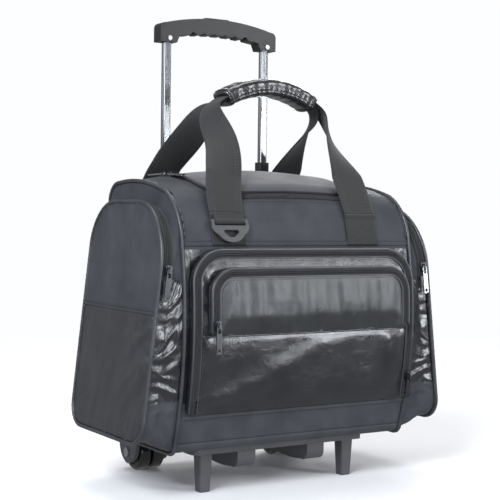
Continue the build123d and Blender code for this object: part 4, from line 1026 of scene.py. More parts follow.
def pocket_cover(name, box, foot_radius, base, height, lift_of, finish, shade_of=None):
    """Padded panel of a front pocket: outer face over its plan, and the wall round its edge."""
    s = settings()
    x0, x1, z0, z1, r = box

    def edge(p):
        return rounded_distance(p, x0, x1, z0, z1, (foot_radius, foot_radius, r, r))

    def inset_edge(p):
        return edge(p) + 0.8
    us = np.arange(x0 - 1, x1 + 4, s.grid_step)
    vs = np.arange(z0 - 1, z1 + 4, s.grid_step)
    grid, faces = trimmed_grid(us, vs, inset_edge)
    lift = lift_of(grid[:, 0], grid[:, 1], -edge(grid))
    points = front_point(grid[:, 0], grid[:, 1], height + lift)
    normal = face_normals(points, faces)
    if normal[:, 1].sum() > 0:
        faces = faces[:, ::-1]
    shade = None if shade_of is None else shade_of(grid[faces].mean(1))
    sides = np.vstack([faces[:, [k, (k + 1) % 4]] for k in range(4)])
    key = np.sort(sides, 1)
    _, first, count = np.unique(key, axis=0, return_index=True, return_counts=True)
    border = sides[first[count == 1]]
    wall_points, wall_faces, offset = [], [], len(points)
    ids = np.unique(border)
    steps = ((0.86, 0.8), (0.45, 1.2), (0.0, 0.8))
    ring = {}
    for i in ids:
        u, v = grid[i]
        g = np.array([[u, v]])
        e = 0.05
        slope = np.array([edge(g + [e, 0])[0] - edge(g - [e, 0])[0],
                          edge(g + [0, e])[0] - edge(g - [0, e])[0]])
        slope = slope / max(np.linalg.norm(slope), 1e-9)
        ring[i] = []
        face = max(height + lift[i], base + 0.6)
        for share, bow in steps:
            px, pz = u + slope[0] * bow, v + slope[1] * bow
            ring[i].append(offset + len(wall_points))
            wall_points.append(front_point(px, pz, base + (face - base) * share))
    for a, b in border:
        chain_a, chain_b = [a] + ring[a], [b] + ring[b]
        for k in range(len(steps)):
            wall_faces.append([chain_b[k], chain_a[k], chain_a[k + 1], chain_b[k + 1]])
    points = np.vstack([points, np.array(wall_points)])
    lay = np.vstack([grid, np.array([[p[0], p[2]] for p in wall_points])])
    shade_all = None
    if shade is not None:
        shade_all = np.concatenate([shade, np.full(len(wall_faces), 0)])
    obj = make_piece(name, points, np.vstack([faces, np.array(wall_faces)]), lay, finish, shade_all)
    return thicken(obj, s.fabric_thickness, "lining")


TAPE_INSET, LIP_INSETS, STITCH_INSET = 6.0, (0.9, 11.6), 15.0     # in from a pocket's rim


def pocket_zip(name, box, face, feet, outer_lip, stitch_rise):
    """Bound arched zip of a front pocket; feet are the heights where tape, lips and stitches start."""
    s = settings()
    tape, path, across, out = pocket_ribbon(f"{name}_tape", box, TAPE_INSET, feet[0], face + 0.85,
                                            flat_profile(9.6, 0.9, 8), "tape")
    made = [finish_piece(tape, "case", "zip_tape", f"{name}_zip")]
    teeth = zip_teeth(f"{name}_coil", path + out * 0.4, across, out, 2.2, s.tooth_pitch, 1.7)
    made.append(finish_piece(teeth, "case", "zip_metal"))
    for k, (inset, width) in enumerate(zip(LIP_INSETS, (outer_lip, 1.8))):
        lip = pocket_ribbon(f"{name}_lip_{k}", box, inset, feet[1], face + 0.5,
                            flat_profile(width, 1.8, 8), "piping")[0]
        made.append(finish_piece(lip, "case", "nylon_coated"))
    flat = pocket_rim(box, STITCH_INSET, feet[2])
    row = stitch_row(f"{name}_stitches", front_point(flat[:, 0], flat[:, 1], face + stitch_rise),
                     front_out(flat[:, 1]), s)
    made.append(finish_piece(row, "case", "nylon_coated"))
    return made


def front_pocket():
    """Large front pocket: glazed panels, ruched beside the small pocket, and its bound arched zip."""
    s = settings()
    left, right = SMALL_BOX[0], SMALL_BOX[1]

    def lift_of(x, z, inward):
        aside = np.maximum(left - x, x - right)          # beside the small pocket
        beside = (aside > -4) & (z > 196)
        ruche = s.pucker_height * 1.7 * cloth_noise(np.stack([z / 9 + x * 0.02, x / 60], -1), 51)
        low = np.clip((205 - z) / 12, 0, 1)
        ridge = (z - 116) - 0.42 * (x + 150)            # long diagonal fold from the lower left corner
        extent = np.clip((x + 165) / 30, 0, 1) * np.clip((70 - x) / 120, 0, 1)
        sweep_fold = 2.6 * np.exp(-(ridge / 15) ** 2) * extent
        sweep_fold = sweep_fold + 1.5 * np.exp(-((x - 138 + 0.14 * (z - 150)) / 9) ** 2)
        sweep_fold = sweep_fold + 0.9 * cloth_noise(np.stack([x / 80, z / 60], -1), 53)
        crease = 0.25 * s.crumple_height * crumple(x * 0.8 + z * 0.6, z * 0.8 - x * 0.3, 70, 55)
        lift = np.where(beside, ruche * np.clip((z - 190) / 25, 0, 1), 0) + low * (sweep_fold + crease)
        lift = lift + s.pucker_height * 0.7 * puckers(x, z - 109, 15, 16, 57)
        lift = lift * np.clip((inward - 11.5) / 10, 0, 1)
        lift = lift + 1.0 * seam_line(z, 206.0, 2.4) * (inward > 12)
        behind = (x > left + 6) & (x < right - 6) & (z > 212) & (z < 288)
        lift = np.where(behind, -0.7, np.clip(lift, -2.2, 2.6))
        within = np.clip((np.minimum(x - POCKET_BOX[0], POCKET_BOX[1] - x) - 12) / 14, 0, 1)
        return lift - 6.0 * within * np.clip((134 - z) / 25, 0, 1) ** 1.6
    obj = pocket_cover("front_pocket_cover", POCKET_BOX, 10, 0.6, POCKET_OUT - 0.5, lift_of, ["coated"])
    made = [finish_piece(obj, "case", "nylon_coated", "front_pocket")]
    made += pocket_zip("front_pocket", POCKET_BOX, POCKET_OUT, (129, 112, 114), 2.6, 0.1)
    # Seam across the pocket under the small one, with a raised fold that catches the light.
    xs = np.linspace(POCKET_BOX[0] + 13, POCKET_BOX[1] - 13, 80)
    path = front_point(xs, 207.4 + 0 * xs, POCKET_OUT - 0.4)
    out = front_out(207.4 + 0 * xs)
    across = np.tile([0.0, 0.0, 1.0], (len(xs), 1))
    fold = sweep("front_pocket_fold", path, across, out, flat_profile(4.0, 2.0, 8), "coated")
    made.append(finish_piece(fold, "case", "nylon_coated"))
    row = stitch_row("front_pocket_fold_stitches", path + across * -5.0 + out * 0.3, out, s)
    made.append(finish_piece(row, "case", "nylon_coated"))
    return made


def small_pocket():
    """Small pocket on the large one: satin cloth gathered under its arched zip."""

    def lift_of(x, z, inward):
        fall = np.clip((z - 200) / 80, 0, 1)
        gather = 1.5 * fall * cloth_noise(np.stack([x / 13, z / 160], -1), 61)
        broad = 1.2 * cloth_noise(np.stack([x / 60, z / 45], -1), 63)
        lift = (gather + broad) * np.clip((inward - 11.5) / 14, 0, 1)
        lift = lift + 1.1 * np.clip((250 - z) / 30, 0, 1) * cloth_noise(np.stack([x / 8, z / 50], -1), 65)
        lift = np.clip(lift + 1.2 * np.clip((inward - 12) / 30, 0, 1), -1.6, 2.6)
        within = np.clip((np.minimum(x - SMALL_BOX[0], SMALL_BOX[1] - x) - 12) / 14, 0, 1)
        return lift - 6.4 * within * np.clip((232 - z) / 24, 0, 1) ** 1.4
    obj = pocket_cover("small_pocket_cover", SMALL_BOX, 6, POCKET_OUT + 0.5, SMALL_OUT - 0.5, lift_of,
                       ["satin"])
    made = [finish_piece(obj, "case", "nylon_coated", "small_pocket")]
    made += pocket_zip("small_pocket", SMALL_BOX, SMALL_OUT, (213, 211, 214), 2.2, 0.3)
    return made


# --- handles ------------------------------------------------------------------------------------
FOOT_OFF = 4.4          # the free webbing stands this far off the case at its foot
ARCH_PAST = {1: 6.0, -1: 1.0}


def spline_through(points, first_way, last_way, count):
    """Smooth run through points with set directions at both ends (natural chord-length cubic)."""
    p = np.array(points, float)
    h = np.linalg.norm(np.diff(p, axis=0), axis=1)
    t = np.concatenate([[0], np.cumsum(h)])
    n = len(p)
    a, b = np.zeros((n, n)), np.zeros((n, 3))
    a[0, 0] = a[-1, -1] = 1
    b[0], b[-1] = first_way, last_way
    for i in range(1, n - 1):
        a[i, i - 1:i + 2] = (h[i], 2 * (h[i - 1] + h[i]), h[i - 1])
        b[i] = 3 * (h[i] * (p[i] - p[i - 1]) / h[i - 1] + h[i - 1] * (p[i + 1] - p[i]) / h[i])
    m = np.linalg.solve(a, b)
    made = []
    for u in np.linspace(0, t[-1], count):
        i = min(np.searchsorted(t, u, "right") - 1, n - 2)
        w = (u - t[i]) / h[i]
        made.append((2 * w ** 3 - 3 * w ** 2 + 1) * p[i] + (w ** 3 - 2 * w ** 2 + w) * h[i] * m[i]
                    + (3 * w ** 2 - 2 * w ** 3) * p[i + 1] + (w ** 3 - w ** 2) * h[i] * m[i + 1])
    return np.array(made)


def arch_station(lift, angle):
    """Centre and direction of a strap on the arch of the grip, angle degrees right of its top."""
    q, r = math.radians(angle), ARCH_R + 2.0 * lift
    return (np.array([WRAP_X + r * math.sin(q), -2.5 * lift, ARCH_Z + r * math.cos(q)]),
            np.array([math.cos(q), 0, -math.sin(q)]))


def front_foot(x):
    """Foot of a front strap on the yoke at x, and the direction in which the strap leaves it."""
    point, way = shoulder_point([x], np.array([356.0]), FOOT_OFF)
    return point[0], np.array([0, -way[0][2], way[0][1]])


LEGS = {
    (1, -1): ((-85, -36, 458), (-95, -66, 414)), (1, 1): ((94, -36, 458), (96, -66, 414)),
    (-1, -1): ((-86, 40, 462), (-103, 86, 412)), (-1, 1): ((94, 40, 462), (98, 86, 412)),
}


def handle_route(lift):
    """One handle from its left foot over the arch to its right foot: points, across and width."""
    total = ARCH_ANGLE + ARCH_PAST[lift]
    runs = []
    for side in (-1, 1):
        start, way = arch_station(lift, side * total)
        if lift > 0:
            foot, foot_way = front_foot(STRAP_X[side > 0])
        else:
            foot, foot_way = np.array([STRAP_X[side > 0], 98 + FOOT_OFF, 366.0]), np.array([0, 0, -1.0])
        path = spline_through([start, *LEGS[(lift, side)], foot], way * side, foot_way, 70)
        u = np.linspace(0, 1, 70)
        turn = np.minimum(1.0, 1.5 * u)
        ahead = unit(np.gradient(path, axis=0))
        across = np.stack([side * np.sin(turn * math.pi / 2), np.cos(turn * math.pi / 2), 0 * u], -1)
        across = unit(across - ahead * (across * ahead).sum(1)[:, None])
        width = GRIP_STRAP_W + (STRAP_W - GRIP_STRAP_W) * turn
        runs.append((path, across, width))
    arch = [arch_station(lift, a)[0] for a in np.linspace(-total, total, 60)[1:-1]]
    across = np.tile([0.0, 1.0, 0.0], (len(arch), 1))
    path = np.vstack([runs[0][0][::-1], arch, runs[1][0]])
    sideways = np.vstack([runs[0][1][::-1], across, runs[1][1]])
    width = np.concatenate([runs[0][2][::-1], np.full(len(arch), GRIP_STRAP_W), runs[1][2]])
    return path, sideways, width


def strap_handle(name, lift, body, foot_z, *nodes):
    """Webbing handle with four rows of lengthwise stitching, bent at its sewn feet."""
    s = settings()
    path, across, width = handle_route(lift)
    path, across, width = resample(path, 3.0, across, width[:, None])
    across = unit(across)
    ahead = unit(np.gradient(path, axis=0))
    out = unit(np.cross(ahead, across))
    share = width[:, 0] / STRAP_W
    strap = sweep(name, path, across, out, flat_profile(STRAP_W, STRAP_T - 0.2, 22, ridge=0.2), "webbing",
                  widths=share)
    made = [strap]
    legs = (slice(0, 48), slice(len(path) - 48, len(path)))
    for k, leg in enumerate(legs):
        for j, place in enumerate((-0.41, -0.33, 0.33, 0.41)):
            for face in (1, -1):
                row = path[leg] + across[leg] * (width[leg] * place) + out[leg] * face * 1.15
                made.append(stitch_row(f"{name}_stitches_{k}_{j}_{face + 1}", row, out[leg] * face, s,
                                       lift=0.1))
    strap = join_pieces(name, made)
    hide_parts(*nodes)
    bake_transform(strap)
    return strap


def sewn_end(name, points, ways):
    """Sewn-down end of a handle strap: webbing with a crossed box of stitches."""
    s = settings()
    points, ways = resample(points, 2.0, ways)
    ahead = unit(np.gradient(points, axis=0))
    across = unit(np.cross(ahead, ways))
    strap = sweep(name, points, across, ways, flat_profile(STRAP_W, 2.2, 22, ridge=0.2), "webbing")
    made = [strap]
    length = lengths_along(points)
    low, high = 3.0, length[-1] - 9.0

    def on_strap(x, v):
        i = np.interp(v, length, np.arange(len(length)))
        k = np.stack([np.interp(i, np.arange(len(length)), points[:, c]) for c in range(3)], -1)
        w = unit(np.stack([np.interp(i, np.arange(len(length)), ways[:, c]) for c in range(3)], -1))
        a = unit(np.stack([np.interp(i, np.arange(len(length)), across[:, c]) for c in range(3)], -1))
        return k + a * np.asarray(x, float)[:, None] + w * 1.05, w
    t = np.linspace(0, 1, 24)
    runs = [(-20 + 0 * t, low + (high - low) * t), (20 + 0 * t, low + (high - low) * t),
            (-20 + 40 * t, low + 0 * t), (-20 + 40 * t, high + 0 * t),
            (-20 + 40 * t, low + (high - low) * t), (20 - 40 * t, low + (high - low) * t)]
    for k, (x, v) in enumerate(runs):
        row, w = on_strap(x, v)
        made.append(stitch_row(f"{name}_{k}", row, w, s, lift=0.1, pitch=3.6))
    return made


RISE_TO_STRAP = np.append(np.zeros(22), np.array([0.25, 0.6, 0.9, 1.0]) * (FOOT_OFF - 1.6))


def sewn_ends():
    """Four sewn-down strap ends on the front and back of the case."""
    made = []
    for x in STRAP_X:
        zs = np.append(np.linspace(317.6, 350.0, 22), [351.5, 353.0, 354.5, 356.0])
        points, ways = shoulder_point(x + 0 * zs, zs, 1.6)
        points = points + ways * RISE_TO_STRAP[:, None]
        made += sewn_end(f"front_sewn_{x:.0f}".replace("-", "m"), points, ways)
    front = finish_piece(join_pieces("front_sewn_ends", made), "case", "webbing", "front_anchors")
    made = []
    for x in STRAP_X:
        zs = np.append(np.linspace(324.6, 360.0, 22), [361.5, 363.0, 364.5, 366.0])
        points = np.stack([x + 0 * zs, 98 + 1.6 + RISE_TO_STRAP, zs], -1)
        ways = np.tile([0.0, 1.0, 0.0], (len(zs), 1))
        made += sewn_end(f"rear_sewn_{x:.0f}".replace("-", "m"), points, ways)
    rear = finish_piece(join_pieces("rear_sewn_ends", made), "case", "webbing", "rear_anchors")
    return [front, rear]


def wrap_grip():
    """Padded wrap round both handles: swollen sleeve, overlapping flap, bound ends and stitching."""
    s = settings()
    angles = np.linspace(-ARCH_ANGLE, ARCH_ANGLE, 56)
    turn = np.arange(64) / 64 * 2 * math.pi
    flap = np.clip((turn - 3.55) / 0.06, 0, 1) * np.clip((5.85 - turn) / 0.35, 0, 1)
    outer, inner = [], []
    for a in angles:
        q = math.radians(a)
        along = abs(a) / ARCH_ANGLE
        swell = 1 - 0.10 * along ** 6 - 0.02 * math.cos(a * 0.9)
        bow = 0.5 * cloth_noise(np.stack([np.full(64, a / 6), turn * 2], -1), 71)
        c, w = np.cos(turn), np.sin(turn)
        power = 0.62
        half_w, half_t = WRAP_W / 2 - 2.0, WRAP_T / 2 - 2.0
        y = half_w * swell * np.sign(c) * np.abs(c) ** power
        r = half_t * swell * np.sign(w) * np.abs(w) ** power
        reach = 1 + (1.5 * flap + bow * 0.6) / np.maximum(np.hypot(y, r), 4)
        outer.append(np.stack([WRAP_X + (ARCH_R + r * reach) * math.sin(q), y * reach,
                               ARCH_Z + (ARCH_R + r * reach) * math.cos(q)], -1))
        yi = 19.2 * np.sign(c) * np.abs(c) ** 0.35
        ri = 3.75 * np.sign(w) * np.abs(w) ** 0.35
        inner.append(np.stack([WRAP_X + (ARCH_R + ri) * math.sin(q), yi,
                               ARCH_Z + (ARCH_R + ri) * math.cos(q)], -1))
    rows = outer + inner[::-1]
    points = np.vstack(rows)
    faces = grid_faces(len(rows), 64, wrap_rows=True, wrap_columns=True)
    lay = np.stack([np.tile(turn * 17, len(rows)), np.repeat(np.append(angles, angles[::-1]) * 2.35, 64)], -1)
    sleeve = outward(make_piece("handle_wrap_sleeve", points, faces, lay, "coated"))
    made = [sleeve]
    for end in (-1, 1):
        q = math.radians(end * (ARCH_ANGLE - 1.6))
        row = outer[-3 if end > 0 else 2]
        centre = np.array([WRAP_X + ARCH_R * math.sin(q), 0, ARCH_Z + ARCH_R * math.cos(q)])
        ring = row
        out = unit(ring - centre)
        across, out, _ = frames_along(ring, out, closed=True)
        made.append(sweep(f"wrap_binding_{end + 1}", ring + out * 0.2, across, out,
                          [(-2.6, -0.3), (2.6, -0.3), (2.4, 0.6), (0, 0.9), (-2.4, 0.6)], "satin",
                          closed=True))
    lower = np.array([row[37] for row in outer])
    out = unit(lower - np.array([[WRAP_X + ARCH_R * math.sin(math.radians(a)), 0,
                                  ARCH_Z + ARCH_R * math.cos(math.radians(a))] for a in angles]))
    lower = np.array([row[39] for row in outer])
    made.append(stitch_row("wrap_flap_stitches", lower[2:-2] + out[2:-2] * 0.3, out[2:-2], s, pitch=3.6))
    upper = np.array([row[57] for row in outer])
    made.append(stitch_row("wrap_seam_stitches", upper[2:-2] + out[2:-2] * 0.0, out[2:-2], s, pitch=3.6))
    sleeve = join_pieces("handle_wrap_sleeve", made)
    finish_piece(sleeve, "front_handle_loop", "padding", "handle_wrap")
    return sleeve


def ring_webbing():
    """Loop of folded webbing that holds the shoulder-strap ring against the sewn strap end."""
    s = settings()
    at, way = shoulder_point([STRAP_X[0]], np.array([345.0]), 0.4 + 2.4 + 0.3 + 1.2 + 0.2 + 1.5)
    at, way = at[0], way[0]
    up = unit(np.cross(np.array([1.0, 0, 0]), way) * -1)
    if up[2] < 0:
        up = -up
    r = 1.5 + 0.2 + 0.6
    profile = [(-r, 9.6), (-r, 6.0), (-r, 2.5)]
    profile += [(-r * math.cos(b), -r * math.sin(b)) for b in np.linspace(0, math.pi, 18)]
    profile += [(r * 0.85, 1.8), (r * 0.35, 4.4), (0.25, 6.5), (0.1, 9.6)]
    line = np.array([at + way * o + up * u for o, u in profile])
    line = resample(line, 0.8)[0]
    ahead = unit(np.gradient(line, axis=0))
    across = np.tile([1.0, 0.0, 0.0], (len(line), 1))
    out = unit(np.cross(across, ahead))
    strap = sweep("ring_keeper", line, across, out, flat_profile(42.0, 1.0, 18), "webbing")
    row = np.array([at + way * 1.3 + up * 7.6 + np.array([x, 0, 0]) for x in np.linspace(-19, 19, 20)])
    thread = stitch_row("ring_keeper_stitches", row, np.tile(way, (20, 1)), s, lift=-0.2, pitch=3.6)
    return finish_piece(join_pieces("ring_keeper", [strap, thread]), "case", "webbing", "ring_loop")


# --- back sleeve --------------------------------------------------------------------------------
def back_sleeve():
    """Cloth channel on the back that covers the trolley tubes, with bound head and foot."""
    s = settings()
    x0, x1, y0, y1, z0, z1 = -106.0, 106.0, 98.8, 132.5, 87.0, 318.0
    r = 14.0
    a = np.linspace(0, math.pi / 2, 10)
    line = np.vstack([
        [[x0, y] for y in np.linspace(y0, y1 - r, 8)[:-1]],
        np.stack([x0 + r - r * np.cos(a), y1 - r + r * np.sin(a)], -1),
        [[x, y1] for x in np.linspace(x0 + r, x1 - r, 70)[1:-1]],
        np.stack([x1 - r + r * np.sin(a), y1 - r + r * np.cos(a)], -1),
        [[x1, y] for y in np.linspace(y1 - r, y0, 8)[1:]]])
    zs = np.linspace(z0, z1, 78)
    points = np.array([[x, y, z] for z in zs for x, y in line])
    faces = grid_faces(len(zs), len(line))
    normal = face_normals(points, faces)
    if (normal * (points - np.array([0, 100, 200]))).sum() < 0:
        faces, normal = faces[:, ::-1], -normal
    along = np.tile(lengths_along(line), len(zs))
    z = points[:, 2]
    edge = np.minimum(z - z0, z1 - z)
    lift = 0.8 * s.pucker_height * puckers(along, edge, 14, 18, 81)
    lift = lift + 0.9 * crumple(along, z * 0.7, 60, 83) * np.clip(edge / 20, 0, 1)
    tubes = np.exp(-((np.abs(points[:, 0]) - 80.5) / 12) ** 2) * (points[:, 1] > 125)
    lift = np.clip(lift, -1.2, 1.2) * np.clip(edge / 6, 0, 1) + 0.6 * tubes
    points = points + normal * lift[:, None]
    obj = make_piece("back_sleeve_cover", points, faces, np.stack([along, z], -1), "panel")
    thicken(obj, 1.6, "lining")
    made = [finish_piece(obj, "case", "nylon_panel", "tube_sleeve")]
    for k, z in enumerate((z0 + 3.0, z1 - 3.0)):
        ring = np.hstack([line, np.full((len(line), 1), z)])
        out = unit(np.hstack([np.gradient(line, axis=0)[:, 1:], -np.gradient(line, axis=0)[:, :1],
                              np.zeros((len(line), 1))]))
        if (out[:, 1]).sum() < 0:
            out = -out
        up = np.tile([0.0, 0.0, 1.0], (len(line), 1))
        band = sweep(f"back_sleeve_binding_{k}", ring + out * 0.3, up, out, flat_profile(7.0, 1.5, 8),
                     "webbing")
        made.append(finish_piece(band, "case", "nylon_panel"))
    for k, x in enumerate((x0, x1)):
        zs = np.linspace(z0 + 2, z1 - 2, 60)
        path = np.stack([x + 0 * zs, 98.6 + 0 * zs, zs], -1)
        out = np.tile([0.0, 1.0, 0.0], (len(zs), 1))
        across = np.tile([1.0, 0.0, 0.0], (len(zs), 1))
        hem = sweep(f"back_sleeve_hem_{k}", path + [5.5 if x > 0 else -5.5, 0.4, 0], across, out,
                    flat_profile(9.0, 1.0, 8), "panel")
        made.append(finish_piece(hem, "case", "nylon_panel"))
        row = stitch_row(f"back_sleeve_stitches_{k}", path + [6.0 if x > 0 else -6.0, 1.0, 0], out, s)
        made.append(finish_piece(row, "case", "nylon_panel"))
    return made


# --- hardware -----------------------------------------------------------------------------------
def hardware():
    """Sliders, pulls, ring, trolley, grip, base and wheels keep their CAD shapes and get finishes."""
    dress("gunmetal", "lid_slider_rear", "lid_slider_fore", "left_end_slider", "right_end_slider",
          "front_pocket_slider", "small_pocket_slider")
    dress("nickel", "lid_pull_rear", "lid_pull_fore", "right_end_pull")
    dress("gunmetal", "left_end_pull", "front_pocket_pull", "small_pocket_pull")
    dress("ring", "shoulder_ring")
    dress("tube", "outer_tubes", "middle_tubes", "inner_tubes")
    dress("grip", "grip_front", "grip_rear", "release_button", "outer_collars", "middle_collars",
          "lock_blocks", "push_rods")
    dress("steel", "grip_screws", "base_screws", "axles", "button_spring", "left_lock_pin", "right_lock_pin")
    dress("base", "base_frame", "feet", "skids", "wheel_housings", "tube_cradle")
    dress("tyre", "left_tyres", "right_tyres")
    dress("hub", "left_hub", "right_hub")
    dress("board", "base_board", "back_board")


# --- stage --------------------------------------------------------------------------------------
CAMERA_AT, CAMERA_AHEAD, CAMERA_ROLL = (-0.887, -1.411, 0.358), (0.5263, 0.8498, -0.0299), 0.76


def stage():
    """Pale floor that fades into the white surround, soft studio lights, and the camera."""
    floor_mesh = bpy.data.meshes.new("studio_floor")
    size = 3.0
    corners = [(-size, -size, 0), (size, -size, 0), (size, size, 0), (-size, size, 0)]
    floor_mesh.from_pydata(corners, [], [(0, 1, 2, 3)])
    floor = bpy.data.objects.new("studio_floor", floor_mesh)
    bpy.context.scene.collection.objects.link(floor)
    # Paper roll: uncoated, matt white, fading out with the distance from the case.
    paper, tree, shader = new_material("paper_backdrop_uncoated")
    place = add_node(tree, "ShaderNodeTexCoord").outputs["Object"]
    tone = add_node(tree, "ShaderNodeTexNoise", {"Vector": place, "Scale": 3.0}).outputs["Fac"]
    colour = add_node(tree, "ShaderNodeMix", {0: tone, 6: srgb("f6f7f9"), 7: srgb("fcfcfd")},
                      data_type="RGBA").outputs[2]
    tree.links.new(colour, shader.inputs["Base Color"])
    shader.inputs["Roughness"].default_value = 0.95
    shader.inputs["Specular IOR Level"].default_value = 0.1
    reach = add_node(tree, "ShaderNodeVectorMath", {0: place}, operation="LENGTH").outputs["Value"]
    fade = add_node(tree, "ShaderNodeMapRange", {"Value": reach, "From Min": 0.7, "From Max": 2.2},
                    interpolation_type="SMOOTHSTEP").outputs[0]
    clear = add_node(tree, "ShaderNodeBsdfTransparent")
    blended = add_node(tree, "ShaderNodeMixShader", {0: fade, 1: shader.outputs[0], 2: clear.outputs[0]})
    output = next(n for n in tree.nodes if n.type == "OUTPUT_MATERIAL")
    tree.links.new(blended.outputs[0], output.inputs["Surface"])
    floor.data.materials.append(paper)
    floor.visible_glossy = False            # the glazed cloth mirrors the dim room, not the paper
    world = bpy.data.worlds.new("studio_air")
    world.use_nodes = True
    tree = world.node_tree
    seen = add_node(tree, "ShaderNodeLightPath").outputs["Is Camera Ray"]
    strength = add_node(tree, "ShaderNodeMapRange", {"Value": seen, "To Min": 0.26, "To Max": 1.0}).outputs[0]
    tree.links.new(strength, tree.nodes["Background"].inputs["Strength"])
    tree.nodes["Background"].inputs["Color"].default_value = srgb("fdfeff")
    bpy.context.scene.world = world
    lamps = (("key_softbox", (-2.6, -1.7, 2.3), (0.0, -0.1, 0.25), 1.3, 1.6, 135, "f4f8ff"),
             ("side_softbox", (-2.9, 1.3, 1.5), (-0.2, 0.0, 0.25), 1.6, 1.6, 20, "eef3ff"),
             ("top_softbox", (0.3, 0.5, 3.2), (0.0, 0.0, 0.3), 2.0, 1.6, 34, "ffffff"),
             ("fill_softbox", (2.4, -2.9, 1.9), (0.1, 0.0, 0.3), 1.2, 1.0, 42, "fbfdff"),
             ("front_softbox", (-0.45, -3.0, 0.75), (-0.1, 0.0, 0.25), 1.0, 1.3, 29, "f6faff"),
             ("strip_softbox", (1.75, -2.6, 0.38), (0.0, 0.0, 0.2), 0.45, 0.7, 15, "f6faff"),
             ("back_softbox", (2.4, 2.6, 2.2), (0.0, 0.0, 0.3), 2.0, 1.6, 50, "ffffff"))
    for name, at, target, width, height, power, tint in lamps:
        lamp = bpy.data.lights.new(name, "AREA")
        lamp.shape, lamp.size, lamp.size_y, lamp.energy = "RECTANGLE", width, height, power
        lamp.color = srgb(tint)[:3]
        obj = bpy.data.objects.new(name, lamp)
        obj.location = at
        obj.rotation_mode = "QUATERNION"
        obj.rotation_quaternion = (Vector(target) - Vector(at)).to_track_quat("-Z", "Y")
        bpy.context.scene.collection.objects.link(obj)
    camera = bpy.data.cameras.new("studio_camera")
    camera.lens, camera.sensor_width = 88.2, 36.0
    camera.clip_start, camera.clip_end = 0.05, 60
    obj = bpy.data.objects.new("studio_camera", camera)
    bpy.context.scene.collection.objects.link(obj)
    ahead = Vector(CAMERA_AHEAD).normalized()
    right = ahead.cross(Vector((0, 0, 1))).normalized()
    up = right.cross(ahead)
    roll = math.radians(CAMERA_ROLL)
    right, up = right * math.cos(roll) + up * math.sin(roll), up * math.cos(roll) - right * math.sin(roll)
    turn = Matrix((right, up, -ahead)).transposed().to_4x4()
    obj.matrix_world = Matrix.Translation(CAMERA_AT) @ turn
    bpy.context.scene.camera = obj
    bpy.context.scene.view_settings.view_transform = "Standard"


# --- operators ----------------------------------------------------------------------------------
class FLIGHTCASE_OT_case(bpy.types.Operator):
    """Sew the case's own cloth with its welts and stitches"""
    bl_idname = "flight_case.case"
    bl_label = "Case Cloth"

    def execute(self, context):
        case_cover()
        return {"FINISHED"}


class FLIGHTCASE_OT_lid(bpy.types.Operator):
    """Make the lid panel and both rows of the lid zip"""
    bl_idname = "flight_case.lid"
    bl_label = "Lid and Zip"

    def execute(self, context):
        lid_cover()
        return {"FINISHED"}


class FLIGHTCASE_OT_ends(bpy.types.Operator):
    """Make both end pockets with their zips and piping"""
    bl_idname = "flight_case.ends"
    bl_label = "End Pockets"

    def execute(self, context):
        piping = []
        for side in (-1, 1):
            end_cover(side)
            end_zip(side)
            piping += end_piping(side)
        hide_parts("end_piping")
        return {"FINISHED"}


class FLIGHTCASE_OT_front_pocket(bpy.types.Operator):
    """Make the large front pocket"""
    bl_idname = "flight_case.front_pocket"
    bl_label = "Front Pocket"

    def execute(self, context):
        front_pocket()
        return {"FINISHED"}


class FLIGHTCASE_OT_small_pocket(bpy.types.Operator):
    """Make the small pocket on the front pocket"""
    bl_idname = "flight_case.small_pocket"
    bl_label = "Small Pocket"

    def execute(self, context):
        small_pocket()
        return {"FINISHED"}


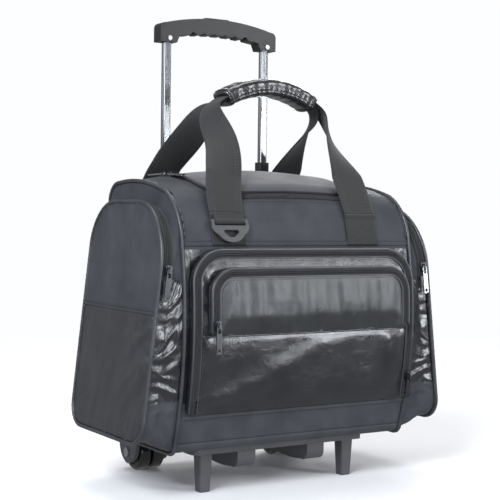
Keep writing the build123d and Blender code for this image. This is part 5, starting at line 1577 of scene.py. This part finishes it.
class FLIGHTCASE_OT_handles(bpy.types.Operator):
    """Make both webbing handles, their sewn ends, the padded wrap and the ring keeper"""
    bl_idname = "flight_case.handles"
    bl_label = "Carry Handles"

    def execute(self, context):
        strap_handle("front_handle_webbing", 1, "front_handle_loop", 356.0, "front_handle")
        strap_handle("rear_handle_webbing", -1, "rear_handle_loop", 366.0, "rear_handle")
        sewn_ends()
        wrap_grip()
        ring_webbing()
        return {"FINISHED"}


class FLIGHTCASE_OT_sleeve(bpy.types.Operator):
    """Make the cloth channel that covers the trolley tubes"""
    bl_idname = "flight_case.sleeve"
    bl_label = "Back Sleeve"

    def execute(self, context):
        back_sleeve()
        return {"FINISHED"}


class FLIGHTCASE_OT_hardware(bpy.types.Operator):
    """Finish the metal and moulded parts"""
    bl_idname = "flight_case.hardware"
    bl_label = "Hardware"

    def execute(self, context):
        hardware()
        return {"FINISHED"}


class FLIGHTCASE_OT_stage(bpy.types.Operator):
    """Set the floor, the lights and the camera"""
    bl_idname = "flight_case.stage"
    bl_label = "Stage"

    def execute(self, context):
        stage()
        return {"FINISHED"}


class FLIGHTCASE_PT_panel(bpy.types.Panel):
    bl_label = "Flight Case"
    bl_idname = "FLIGHTCASE_PT_panel"
    bl_space_type = "VIEW_3D"
    bl_region_type = "UI"
    bl_category = "Flight Case"

    def draw(self, context):
        column = self.layout.column()
        for name in FlightCaseSettings.__annotations__:
            column.prop(context.scene.flight_case, name)
        for operator in OPERATORS:
            column.operator(operator.bl_idname)


OPERATORS = (FLIGHTCASE_OT_stage, FLIGHTCASE_OT_hardware, FLIGHTCASE_OT_case, FLIGHTCASE_OT_lid,
             FLIGHTCASE_OT_ends, FLIGHTCASE_OT_front_pocket, FLIGHTCASE_OT_small_pocket,
             FLIGHTCASE_OT_handles, FLIGHTCASE_OT_sleeve)
CLASSES = (FlightCaseSettings, *OPERATORS, FLIGHTCASE_PT_panel)


def register():
    for kind in CLASSES:
        bpy.utils.register_class(kind)
    bpy.types.Scene.flight_case = bpy.props.PointerProperty(type=FlightCaseSettings)


def unregister():
    del bpy.types.Scene.flight_case
    for kind in reversed(CLASSES):
        bpy.utils.unregister_class(kind)


def main():
    register()
    for operator in OPERATORS:
        group, name = operator.bl_idname.split(".")
        getattr(getattr(bpy.ops, group), name)()


if __name__ == "__main__":
    main()
